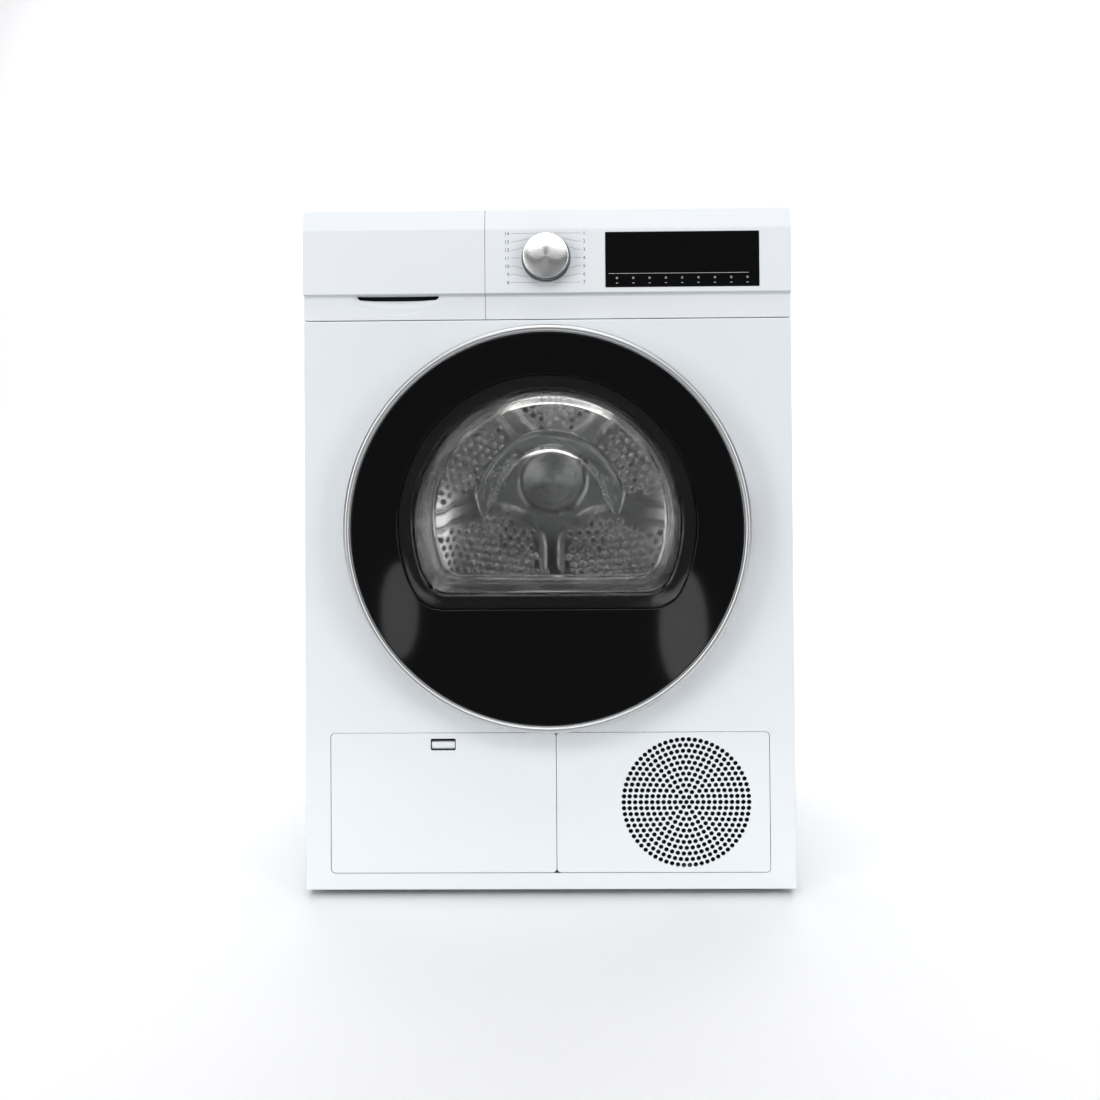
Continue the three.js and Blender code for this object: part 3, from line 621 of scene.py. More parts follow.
@dataclass
class Assembly:
    """Base of every sub-assembly.

    Attributes:
        bench: The modelling bench.
        groups: The shared shader groups.
        made: Finishes already built, by name.
    """

    bench: Bench
    groups: ShaderGroups
    made: dict[str, bpy.types.Material] = field(default_factory=dict)

    def material(self, finish: Finish) -> bpy.types.Material:
        """Build a finish when it is first asked for."""
        if finish.name not in self.made:
            self.made[finish.name] = finish.material(self.groups)
        return self.made[finish.name]

    def dress_node(self, node: str, finish: Finish) -> None:
        """Give a CAD node one finish all over."""
        piece = frame["nodes"][node]
        for slot in piece.material_slots:
            slot.material = self.material(finish)
        if not piece.material_slots:
            piece.data.materials.append(self.material(finish))

    def fit(self, piece: Piece, finish: Finish, body: str, slot: str, *nodes: str) -> Piece:
        """Dress a piece, mount it on its body and let it stand for CAD nodes.

        Args:
            piece: The finished mesh.
            finish: Its finish.
            body: The body that it rides on.
            slot: The record's material slot; not used.
            nodes: The CAD nodes that it replaces.

        Returns:
            The piece.
        """
        piece.data.materials.clear()
        piece.data.materials.append(self.material(finish))
        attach(piece, body)
        if nodes:
            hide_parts(*nodes)
        log.info("%s on %s, %d faces", piece.name, body, len(piece.data.polygons))
        return piece


# ---------------------------------------------------------------- finishes of this dryer
DOOR = Span.of("door_ring")
DRUM = Span.of("drum_shell")
DOOR_CENTRE: Point = (DOOR.mid.x, DOOR.mid.z)
DRUM_CENTRE: Point = (DRUM.mid.x, DRUM.mid.z)
KNOB_CENTRE: Point = (Span.of("programme_knob").mid.x, Span.of("programme_knob").mid.z)

ENAMEL = Finish("enamel_white", (0.81, 0.845, 0.875), roughness=0.28, smear=0.06, coat=0.3)
WORKTOP = Finish("worktop_white", (0.80, 0.83, 0.855), roughness=0.34, smear=0.08, peel=0.03,
                 peel_scale=500.0)
WHITE_PLASTIC = Finish("white_plastic", (0.81, 0.842, 0.868), roughness=0.36, smear=0.06,
                       peel=0.015, peel_scale=1600.0)
TANK_PLASTIC = Finish("tank_plastic", (0.70, 0.72, 0.73), roughness=0.42, peel=0.03)
GREY_PLASTIC = Finish("grey_plastic", (0.30, 0.31, 0.32), roughness=0.46, peel=0.03)
DARK_PLASTIC = Finish("dark_plastic", (0.010, 0.0105, 0.012), roughness=0.40, peel=0.03,
                      specular=0.3)
LIFTER_PLASTIC = Finish("lifter_steel", (0.52, 0.53, 0.54), roughness=0.30, metallic=1.0,
                        grain=Grain.STRAIGHT, density=700.0, scratch=0.08)
BLACK_PANEL = Finish("black_gloss_panel", (0.0022, 0.0023, 0.0026), roughness=0.04, smear=0.02,
                     specular=0.3, peel=0.003, peel_scale=300.0, drift=0.0)
CHROME = Finish("satin_chrome", (0.60, 0.61, 0.615), roughness=0.36, smear=0.04, metallic=1.0,
                grain=Grain.SPUN, centre=DOOR_CENTRE, density=1200.0, scratch=0.06,
                anisotropy=0.4)
# Dark chrome of the knob's skirt: painted shade for the shadow gap round the cap.
KNOB_SKIRT_SHADE = Finish("knob_skirt_painted_shade", (0.11, 0.115, 0.12), roughness=0.25, metallic=1.0)
KNOB_ALUMINIUM = Finish("spun_aluminium", (0.93, 0.93, 0.915), roughness=0.22, smear=0.01,
                        metallic=1.0, peel=0.0, drift=0.0, grain=Grain.SPUN, centre=KNOB_CENTRE,
                        density=3000.0, scratch=0.10, anisotropy=0.9)
STAINLESS = Finish("stainless_drum", (0.50, 0.50, 0.49), roughness=0.15, smear=0.06,
                   metallic=1.0, grain=Grain.STRAIGHT, density=700.0, scratch=0.07)
SPUN_STAINLESS = Finish("spun_stainless", (0.40, 0.40, 0.395), roughness=0.24, metallic=1.0,
                        grain=Grain.SPUN, centre=DRUM_CENTRE, density=1600.0, scratch=0.14,
                        anisotropy=0.7)
GALVANISED = Finish("galvanised_steel", (0.50, 0.51, 0.52), roughness=0.42, smear=0.10,
                    metallic=1.0, drift=0.20, peel=0.04, peel_scale=120.0)
MACHINE_METAL = Finish("machined_steel", (0.46, 0.46, 0.46), roughness=0.30, metallic=1.0)
CAST = Finish("cast_metal", (0.10, 0.10, 0.11), roughness=0.55, peel=0.10, peel_scale=400.0)
COIL = Finish("coil_fins", (0.62, 0.60, 0.56), roughness=0.40, metallic=1.0,
              grain=Grain.STRAIGHT, density=500.0, scratch=0.3)
RUBBER = Finish("rubber_black", (0.018, 0.018, 0.019), roughness=0.72, peel=0.04)
BOARD = Finish("circuit_board_green", (0.03, 0.13, 0.06), roughness=0.38, coat=0.4)
FRAME_BLACK = Finish("frame_black", (0.0022, 0.0022, 0.0025), roughness=0.45, specular=0.06,
                     peel=0.0)
SHADE = Finish("grille_shade", (0.006, 0.006, 0.0065), roughness=0.65, peel=0.03, specular=0.1)
PRINT_GREY = Finish("printed_grey", (0.06, 0.065, 0.07), roughness=0.45, peel=0.004)
PRINT_PALE = Finish("printed_pale_grey", (0.28, 0.29, 0.30), roughness=0.45, peel=0.004)
PRINT_WHITE = Finish("printed_white", (0.72, 0.73, 0.74), roughness=0.40, peel=0.004)
BOWL_GLASS = Glass("bowl_glass", (0.96, 0.97, 0.97), roughness=0.0, ior=1.47)
LAMP_GLASS = Glass("lamp_glass", (0.90, 0.90, 0.88), roughness=0.12, ior=1.5)

SLOT_FINISH: dict[str, Finish] = {
    "enamel": ENAMEL, "worktop_board": WORKTOP, "white_plastic": WHITE_PLASTIC,
    "tank_plastic": TANK_PLASTIC, "grey_plastic": GREY_PLASTIC, "dark_plastic": DARK_PLASTIC,
    "lifter_plastic": LIFTER_PLASTIC, "black_panel": BLACK_PANEL, "silver": CHROME,
    "knob_aluminium": KNOB_ALUMINIUM, "stainless": STAINLESS, "galvanised": GALVANISED,
    "machine_metal": MACHINE_METAL, "cast": CAST, "coil": COIL, "bowl_glass": BOWL_GLASS,
    "rubber": RUBBER, "circuit_board": BOARD,
}


# ---------------------------------------------------------------- casing
@dataclass
class Casing(Assembly):
    """Front panel, worktop, rear panel's pressings and feet.

    Attributes:
        opening: Radius of the hole behind the door.
        corner: Corner radius of the opening above the floor.
        edge: Rounding of the sheet's outer edges.
        fold: Depth of the folded rim behind the sheet.
    """

    opening: float = 190 * MM
    corner: float = 5.5 * MM
    edge: float = 1.6 * MM
    fold: float = 0.012

    def build(self) -> None:
        """Model every piece of the casing."""
        self._front_panel()
        self._worktop()
        self._rear()
        self._feet()

    def _front_panel(self) -> None:
        """Plate with a round opening and a wide low one, its corners folded back."""
        box = Span.of("front_panel")
        flap, grille = Span.of("service_flap"), Span.of("grille_panel")
        panel = self.bench.block("front_panel_pressing", box.lo,
                                 (box.hi.x, box.lo.y + self.fold, box.hi.z))
        panel = self.bench.bevel(panel, self.edge, 4)
        gap = 0.6 * MM
        low = (flap.lo.x - gap, flap.lo.z - gap)
        high = (grille.hi.x + gap, grille.hi.z + gap)
        y0, y1 = box.lo.y - PAST, box.hi.y + PAST
        port = self.bench.rod("port_cutter", self.opening, y0, y1, DOOR.axis, 96)
        recess = self.bench.plate("foot_cutter", rounded(low, high, self.corner), y0, y1)
        panel = self.bench.cut(panel, port, recess)
        hollow = self.bench.block("hollow_cutter",
                                  (box.lo.x + 1 * MM, box.lo.y + 1 * MM, box.lo.z + 1 * MM),
                                  (box.hi.x - 1 * MM, box.hi.y + 2 * PAST, box.hi.z - 1 * MM))
        panel = self.bench.cut(panel, hollow)
        self.fit(self.bench.polish(panel), ENAMEL, "cabinet", "enamel", "front_panel")

    def _worktop(self) -> None:
        """Board with rounded edges and a thin front edging."""
        box = Span.of("worktop")
        board = self.bench.block("worktop_board", box.lo, box.hi)
        board = self.bench.bevel(board, 6.5 * MM, 6)
        self.fit(self.bench.polish(board), WORKTOP, "cabinet", "worktop_board", "worktop")

    def _rear(self) -> None:
        """Pressed stiffening frames and the screws of the rear panel."""
        box = Span.of("rear_panel")
        y, width = box.hi.y, box.hi.x
        frames = []
        for low, high in ((0.25, 0.43), (0.47, 0.77)):
            rows = [(0.0, -0.1), (2.0, 1.1), (4.5, 1.5), (7.0, 1.1), (9.0, -0.1)]
            loops = [[Vector((x, y + rise * MM, z)) for x, z in rounded(
                (inset * MM - width * 0.8, low + inset * MM),
                (width * 0.8 - inset * MM, high - inset * MM),
                (24 - inset) * MM)] for inset, rise in rows]
            frames.append(self.bench.wrapped("frame", loops, ring=True))
        frames = self.bench.join("rear_panel_frames", frames)
        self.fit(self.bench.smooth(frames), GALVANISED, "cabinet", "galvanised")
        screw = self.bench.turned("rear_panel_screws", steps_from(
            0.0, y, (0.4, 1.2), (1.6, 1.2), (2.0, 2.2), (3.2, 2.0), (4.4, 1.0), (4.6, -0.1),
            (0.4, -0.1)), Vector(), 16)
        spots = [Vector((side * width * 0.95, 0, z))
                 for side in (-1, 1) for z in (0.06, 0.30, 0.55, 0.79)]
        spots += [Vector((x, 0, 0.80)) for x in (-0.12, 0.12)]
        screws = self.bench.repeat(screw, spots)
        self.fit(self.bench.smooth(screws), MACHINE_METAL, "cabinet", "machine_metal")

    def _feet(self) -> None:
        """Rubber feet with a groove and a rounded sole."""
        for corner in ("front_left", "front_right", "rear_left", "rear_right"):
            node = f"foot_{corner}"
            box = Span.of(node)
            radius, top = box.size.x / 2, box.size.z
            profile = [(CORE, 0.0), (radius - 0.002, 0.0), (radius, 0.0015), (radius, 0.0035),
                       (radius - 0.0012, 0.0041), (radius - 0.0012, 0.0049), (radius, 0.0055),
                       (radius, top - 0.001), (radius - 0.001, top), (CORE, top)]
            foot = self.bench.turned(f"{node}_rubber", profile,
                                     Vector((box.mid.x, box.mid.y, box.lo.z)), 40, upright=True)
            body = "foot_" + "".join(word[0] for word in corner.split("_"))
            self.fit(self.bench.smooth(foot), RUBBER, body, "rubber", node)


# ---------------------------------------------------------------- controls and condensate drawer
@dataclass
class Fascia(Assembly):
    """Control panel and drawer front, cut from the same section.

    Attributes:
        lip: Height of the recessed strip along the bottom.
        setback: Depth of that strip.
        crown: Height of the leaning strip along the top.
        lean: How far the crown leans back.
        corner: Rounding of the outer top corners.
    """

    lip: float = 31 * MM
    setback: float = 6 * MM
    crown: float = 27 * MM
    lean: float = 5 * MM
    corner: float = 6.5 * MM

    def build(self) -> None:
        """Model both mouldings, the grip, the display and the marks."""
        self._control_panel()
        self._drawer_front()
        self._display()
        self._dial_marks()

    def _section(self, y: float, bottom: float, top: float, depth: float) -> list[Point]:
        """Side view of the moulding.

        Args:
            y: Place of the face.
            bottom: Height of the lower edge.
            top: Height of the upper edge.
            depth: Thickness of the moulding.

        Returns:
            Outline in Y and Z.
        """
        lip, crease, back = bottom + self.lip, top - self.crown, y + depth
        nose = 3.2 * MM
        crown = arc(y + self.lean + nose, top - nose, nose, math.pi / 2, math.pi - 0.18, 6)
        soft = 1.1 * MM
        return [(y + self.setback + 0.5 * MM, bottom), (back, bottom), (back, top), *crown,
                (y + 0.5 * MM, crease + 1.6 * MM), (y, crease - 0.8 * MM),
                *arc(y + soft, lip + soft, soft, math.pi, 1.5 * math.pi, 4),
                (y + self.setback, lip), (y + self.setback, bottom + 0.5 * MM)]

    def _moulding(self, name: str, node: str, outer: float) -> Piece:
        """Make one moulding with a soft outer top corner.

        Args:
            name: Name of the piece.
            node: CAD node that it stands for.
            outer: Place in X of its outer end.

        Returns:
            The moulding before anything is cut out of it.
        """
        box = Span.of(node)
        section = self._section(box.lo.y, box.lo.z, box.hi.z, box.size.y)
        piece = self.bench.bar(name, section, box.lo.x, box.hi.x)
        side = math.copysign(1.0, outer)
        centre = (outer - side * self.corner, box.hi.z - self.corner)
        bow = [(centre[0] + side * (x - centre[0]), z)
               for x, z in arc(*centre, self.corner, 0.0, math.pi / 2, 8)]
        past = 1 * MM
        scrap = self.bench.plate("corner_cutter", [
            (outer + side * past, centre[1]), *bow, (centre[0], box.hi.z + past),
            (outer + side * past, box.hi.z + past)], box.lo.y - PAST, box.hi.y + PAST)
        return self.bench.bevel(self.bench.cut(piece, scrap), 0.5 * MM, 2, 40.0)

    def _control_panel(self) -> None:
        """Control panel with the display's pocket and a ring groove round the knob."""
        box, window = Span.of("control_panel"), Span.of("display_window")
        panel = self._moulding("control_moulding", "control_panel", box.hi.x)
        pocket = self.bench.plate("pocket_cutter", window.outline(1.2 * MM, 0.3 * MM),
                                  box.lo.y - PAST, box.lo.y + 4 * MM)
        knob = Span.of("programme_knob")
        well = self.bench.rod("well_cutter", knob.size.x / 2 + 1.4 * MM, box.lo.y - PAST,
                              box.lo.y + 3 * MM, knob.axis, 64)
        panel = self.bench.polish(self.bench.cut(panel, pocket, well), 30)
        self.fit(panel, WHITE_PLASTIC, "cabinet", "white_plastic", "control_panel")

    def _drawer_front(self) -> None:
        """Drawer front with a scooped grip under its ledge."""
        box = Span.of("drawer_front")
        front = self._moulding("drawer_moulding", "drawer_front", box.lo.x)
        grip, lip_y, lip_z = box.mid.x + 4 * MM, box.lo.y + self.setback, box.lo.z + self.lip
        self.bench.clear()
        bpy.ops.mesh.primitive_uv_sphere_add(segments=48, ring_count=32, radius=1.0,
                                             location=(grip, lip_y - 4 * MM, lip_z - 2 * MM))
        bpy.context.object.scale = (59 * MM, 13 * MM, 25 * MM)
        scoop = self.bench.settle(bpy.context.object, "scoop_cutter")
        self.bench.trim(scoop, Vector((0, 0, lip_z - 0.2 * MM)), Vector((0, 0, 1)))
        half, tall = 51 * MM, 6.6 * MM
        throat = self.bench.plate("throat_cutter", [
            (grip - half, lip_z - 0.9 * MM), (grip - half * 0.975, lip_z - tall * 0.62),
            (grip - half * 0.92, lip_z - tall * 0.9), (grip - half * 0.6, lip_z - tall),
            (grip + half * 0.6, lip_z - tall), (grip + half * 0.92, lip_z - tall * 0.9),
            (grip + half * 0.975, lip_z - tall * 0.62), (grip + half, lip_z - 0.9 * MM)],
            box.lo.y + 3 * MM, box.lo.y + 16 * MM)
        front = self.bench.cut(front, scoop, throat)
        front = self.bench.polish(front, 30)
        self.fit(front, WHITE_PLASTIC, "drawer", "white_plastic", "drawer_front")
        # Near-black plate behind the grip's throat: painted shade in the slot.
        shade = self.bench.plate("grip_shade", rounded(
            (grip - half - 2 * MM, lip_z - tall - 1 * MM),
            (grip + half + 2 * MM, lip_z + 1 * MM), 2 * MM),
            box.lo.y + 15.2 * MM, box.lo.y + 16.4 * MM)
        self.fit(self.bench.bevel(shade, 0.3 * MM, 2), SHADE, "drawer", "dark_plastic")

    def _display(self) -> None:
        """Glossy display window with a fine line and nine touch marks."""
        box = Span.of("display_window")
        glass = self.bench.plate("display_glass", box.outline(0.9 * MM), box.lo.y, box.hi.y)
        glass = self.bench.bevel(glass, 0.4 * MM, 3)
        self.fit(self.bench.polish(glass), BLACK_PANEL, "cabinet", "black_panel", "display_window")
        y = box.lo.y
        rule_z = box.lo.z + 0.245 * box.size.z
        rule = self.bench.print_bar("display_rule", (box.lo.x + 4 * MM, rule_z),
                                    (box.hi.x - 13 * MM, rule_z), 0.35 * MM, y)
        marks = [rule]
        for i in range(9):
            x = box.lo.x + box.size.x * (0.075 + 0.106 * i)
            z = rule_z - 5.5 * MM
            ring = self.bench.turned("key_ring", steps_from(
                0.0, y, (1.25, 0.05), (1.25, -0.08), (0.85, -0.08), (0.85, 0.05)),
                Vector((x, 0, z)), 20, ring=True)
            ends = steps_from(x, z, (-1.3, -6.2), (1.3, -6.2))
            tick = self.bench.print_bar("key_tick", *ends, 0.5 * MM, y)
            marks += [ring, tick]
        self.fit(self.bench.join("display_marks", marks), PRINT_WHITE, "cabinet", "white_plastic")

    def _dial_marks(self) -> None:
        """Numbers on both sides of the knob, each with a thin line to it."""
        knob, face = Span.of("programme_knob"), Span.of("control_panel").lo.y
        cx, cz = knob.mid.x, knob.mid.z
        rim = knob.size.x / 2 + 3.2 * MM
        lines: list[Piece] = []
        numbers: list[Piece] = []
        for side in (-1, 1):
            for row in range(7):
                z = cz + (3 - row) * 10.0 * MM
                x = cx + side * 43 * MM
                turn = math.radians((3 - row) * 24.0)
                start = (cx + side * rim * math.cos(turn), cz + rim * math.sin(turn))
                knee = (cx + side * (rim + 6.0 * MM), z)
                if abs(start[0] - cx) > abs(knee[0] - cx) - 1 * MM:
                    knee = (start[0] + side * 1.5 * MM, z)
                lines.append(self.bench.print_bar("dial_line", start, knee, 0.42 * MM, face))
                lines.append(self.bench.print_bar("dial_line", knee, (x, z), 0.42 * MM, face))
                number = row + 1 if side > 0 else 14 - row
                numbers.append(self.bench.text(
                    str(number), (x + side * 2.0 * MM, z - 2.1 * MM), 6.0 * MM, face,
                    "LEFT" if side > 0 else "RIGHT"))
        self.fit(self.bench.join("dial_lines", lines), PRINT_PALE, "cabinet", "white_plastic")
        self.fit(self.bench.join("dial_numbers", numbers), PRINT_GREY, "cabinet", "white_plastic")


@dataclass
class Knob(Assembly):
    """Programme knob: a spun aluminium cap on a skirt of dark chrome, darkened as painted shade for the
    shadow gap round the cap.
    """

    def build(self) -> None:
        """Model the cap, its pointer and the skirt."""
        box = Span.of("programme_knob")
        centre = box.axis
        y, radius = box.lo.y, box.size.x / 2
        base = Span.of("control_panel").lo.y + 2 * MM
        face = radius - 1.3 * MM
        skirt = self.bench.turned("knob_skirt", [
            (CORE, y + 1.2 * MM), (face + 0.1 * MM, y + 1.2 * MM),
            *steps_from(radius, y, (-0.6, 2.4), (-0.2, 8)),
            *steps_from(radius, base, (0, -1), (-1, 0)), (CORE, base)], centre, 96)
        skirt = self.bench.smooth(skirt, 30)
        # The skirt's dark chrome is painted shade: it stands for the shadow gap round the cap.
        self.fit(skirt, KNOB_SKIRT_SHADE, "knob", "knob_aluminium", "programme_knob")
        cap = self.bench.turned("knob_cap", [
            (CORE, y), *steps_from(face, y, (-0.5, 0), (-0.2, 0.15), (0, 0.6), (0, 1.3)),
            (CORE, y + 1.3 * MM)], centre, 96)
        self.fit(self.bench.smooth(cap, 30), KNOB_ALUMINIUM, "knob", "knob_aluminium")
        ends = steps_from(centre.x, box.mid.z + face, (0, -5.5), (0, -1.9))
        pointer = self.bench.print_bar("knob_pointer", *ends, 0.9 * MM, y)
        self.fit(pointer, PRINT_GREY, "knob", "dark_plastic")


# ---------------------------------------------------------------- door
WINDOW_RADIUS = 178 * MM
WINDOW_CORNER = 42 * MM
WINDOW_SILL = -96 * MM  # height of the flat lower edge over the door's middle
WINDOW_RISE = 5 * MM  # height of the round part's middle over the door's middle
HINGE_HALF = 36 * MM  # half height of the pocket behind the hinge
HINGE_DEPTH = 13 * MM  # distance from the door's front to that pocket


def window_outline(inset: float, steps: int = 20) -> list[Point]:
    """Outline of the door's window: a circle with a flat lower edge.

    Args:
        inset: How far inside the window's edge the outline lies.
        steps: Steps in each rounded corner.

    Returns:
        Outline in X and Z, with the same number of points for every inset.
    """
    centre = DOOR.mid
    radius, corner = WINDOW_RADIUS - inset, WINDOW_CORNER - inset / 2
    cz, rise = WINDOW_SILL + inset + corner, WINDOW_RISE
    cx = math.sqrt((radius - corner) ** 2 - (cz - rise) ** 2)
    angle = math.atan2(cz - rise, cx)
    points = [*arc(cx, cz, corner, -math.pi / 2, angle, steps),
              *arc(0.0, rise, radius, angle, math.pi - angle, steps * 4)[1:],
              *arc(-cx, cz, corner, math.pi - angle, 1.5 * math.pi, steps)[1:]]
    return [(centre.x + x, centre.z + z) for x, z in points]


ARCH_SECTION: list[Point] = [(-1.0, 0.0), (-0.92, 0.38), (-0.7, 0.7), (-0.38, 0.92), (0.0, 1.0),
                             (0.38, 0.92), (0.7, 0.7), (0.92, 0.38), (1.0, 0.0)]


@dataclass
class Door(Assembly):
    """Round door: satin ring, black annulus, glass bowl, frame and seal, with pockets behind the ring and
    frame for the hinge.
    """

    def build(self) -> None:
        """Model every piece of the door."""
        self._ring()
        self._annulus()
        self._frame()
        self._bowl()
        self._seal()

    def _ring(self) -> None:
        """Convex satin ring with a fine inner bead and the hinge's pocket behind it."""
        y0, y1 = DOOR.lo.y, DOOR.hi.y
        outer = DOOR.size.x / 2
        inner = outer - 10 * MM
        profile = [(inner, y1), *steps_from(
            inner, y0, (0, 3.4), (0.25, 2.7), (0.8, 2.6), (1.15, 2.9), (1.4, 2.0), (2.2, 1.0),
            (3.4, 0.3), (5.0, 0), (6.6, 0.5), (8.0, 1.7), (9.2, 3.8)),
            *steps_from(outer, y0, (-0.2, 6.5), (0, 10)), *steps_from(outer, y1, (0, -2), (-2, 0))]
        ring = self.bench.turned("door_ring_trim", profile, DOOR.axis, 160, ring=True)
        pocket = self._hinge_pocket("hinge_cutter", 2 * PAST, outer + 2 * PAST, y1 + PAST)
        ring = self.bench.cut(ring, pocket)
        self.fit(self.bench.smooth(ring, 30), CHROME, "door", "silver", "door_ring")

    def _hinge_pocket(self, name: str, before: float, x1: float, y1: float) -> Piece:
        """Make the cutter of the space behind the hinge.

        Args:
            name: Name of the piece.
            before: How far before the hinge's leaf it starts in X.
            x1: Where it ends in X.
            y1: Where it ends in Y.

        Returns:
            The cutter.
        """
        start = Span.of("hinge_leaf").lo.x - before
        return self.bench.block(name, (start, DOOR.lo.y + HINGE_DEPTH, DOOR.mid.z - HINGE_HALF),
                                (x1, y1, DOOR.mid.z + HINGE_HALF))

    def _annulus(self) -> None:
        """Black glossy panel with the window cut out of it."""
        box = Span.of("door_panel")
        edge = ring_outline(box.mid.x, box.mid.z, box.size.x / 2, 160)
        disc = self.bench.plate("door_annulus", edge, box.lo.y, box.hi.y)
        hole = self.bench.plate("window_cutter", window_outline(0.0), box.lo.y - PAST,
                                box.hi.y + PAST)
        disc = self.bench.cut(disc, hole)
        disc = self.bench.bevel(disc, 0.9 * MM, 3, 50.0)
        self.fit(self.bench.polish(disc), BLACK_PANEL, "door", "black_panel", "door_panel")

    def _frame(self) -> None:
        """Dark inner frame that holds the glass and hides its rim."""
        box, panel = Span.of("door_frame"), Span.of("door_panel")
        radius = box.size.x / 2
        edge = ring_outline(box.mid.x, box.mid.z, radius - 1 * MM, 160)
        body = self.bench.plate("door_inner_frame", edge, panel.hi.y + 4.6 * MM, box.hi.y)
        hole = self.bench.plate("frame_cutter", window_outline(14.2 * MM), box.lo.y,
                                box.hi.y + PAST)
        pocket = self._hinge_pocket("frame_pocket", 14 * MM, radius + 2 * PAST, box.hi.y + PAST)
        body = self.bench.cut(body, hole, pocket)
        body = self.bench.bevel(body, 0.8 * MM, 2, 50.0)
        self.fit(self.bench.polish(body), FRAME_BLACK, "door", "dark_plastic", "door_frame")

    def _bowl(self) -> None:
        """Glass bowl: a flat rim and a tapering cup with a rounded base."""
        box = Span.of("door_bowl")
        y0, y1, wall = box.lo.y, box.hi.y, 4.5 * MM
        outside = [(1.2, y0), (1.2, y0 + 4 * MM), (15.2, y0 + 4 * MM), (15.6, y0 + 8 * MM),
                   (16.6, y1 - 30 * MM), (17.6, y1 - 10 * MM), (18.6, y1 - 4.5 * MM),
                   (21.0, y1 - 1.4 * MM), (25.0, y1)]
        inside = [(29.0, y1 - wall), (25.5, y1 - wall - 1.2 * MM), (23.4, y1 - wall - 4 * MM),
                  (22.3, y1 - wall - 10 * MM), (21.4, y1 - wall - 30 * MM), (20.0, y0 + 9 * MM),
                  (19.2, y0 + 3.0 * MM), (17.6, y0 + 0.8 * MM), (15.4, y0)]
        loops = [[Vector((x, y, z)) for x, z in window_outline(inset * MM)]
                 for inset, y in [*inside, *outside]]
        bowl = self.bench.wrapped("door_glass_bowl", loops)
        self.fit(self.bench.smooth(bowl, 50), BOWL_GLASS, "door", "bowl_glass", "door_bowl")
        self._arch(y1 - wall)

    def _arch(self, base: float) -> None:
        """Arched ridge moulded on the inside of the bowl's base."""
        centre = Vector((DOOR.mid.x, 0, DOOR.mid.z + 10 * MM))
        loops = []
        steps = 40
        for step in range(steps + 1):
            turn = math.pi * step / steps
            spread = min(1.0, 0.25 + 3.2 * math.sin(turn))
            along = Vector((86 * MM * math.cos(turn), 0, 96 * MM * math.sin(turn)))
            out = along.normalized()
            loops.append([centre + along + out * (15 * MM * spread * u)
                          + Vector((0, base - 0.3 * MM - depth * 4.5 * MM * spread, 0))
                          for u, depth in ARCH_SECTION])
        arch = self.bench.wrapped("door_bowl_arch", loops)
        self.fit(self.bench.smooth(arch, 50), BOWL_GLASS, "door", "bowl_glass")

    def _seal(self) -> None:
        """Soft seal with a double lip."""
        box = Span.of("door_seal")
        y0, y1, outer = box.lo.y, box.hi.y, box.size.x / 2
        profile = [(outer, y1), *steps_from(
            outer, y0, (-0.3, 1.6), (-1.3, 0.3), (-2.2, 0.8), (-2.7, 2.0), (-3.6, 0.8),
            (-4.8, 0.4), (-5.8, 1.8)), (outer - 6.0 * MM, y1)]
        seal = self.bench.turned("door_seal_lips", profile, DOOR.axis, 120, ring=True)
        self.fit(self.bench.smooth(seal, 40), RUBBER, "cabinet", "rubber", "door_seal")


# ---------------------------------------------------------------- drum
LIFTER_SECTION: list[Point] = [(-38, 5), (-30, 12), (-20, 30), (-15, 44), (-9, 51), (0, 53),
                               (9, 51), (15, 44), (20, 30), (30, 12), (38, 5)]


def softened(points: Sequence[Point], reach: int) -> list[Point]:
    """Round the corners of an evenly spaced closed outline.

    Args:
        points: The outline.
        reach: Points on each side that a corner is spread over.

    Returns:
        The rounded outline.
    """
    count, width = len(points), 2 * reach + 1
    return [(sum(points[(i + k) % count][0] for k in range(-reach, reach + 1)) / width,
             sum(points[(i + k) % count][1] for k in range(-reach, reach + 1)) / width)
            for i in range(count)]


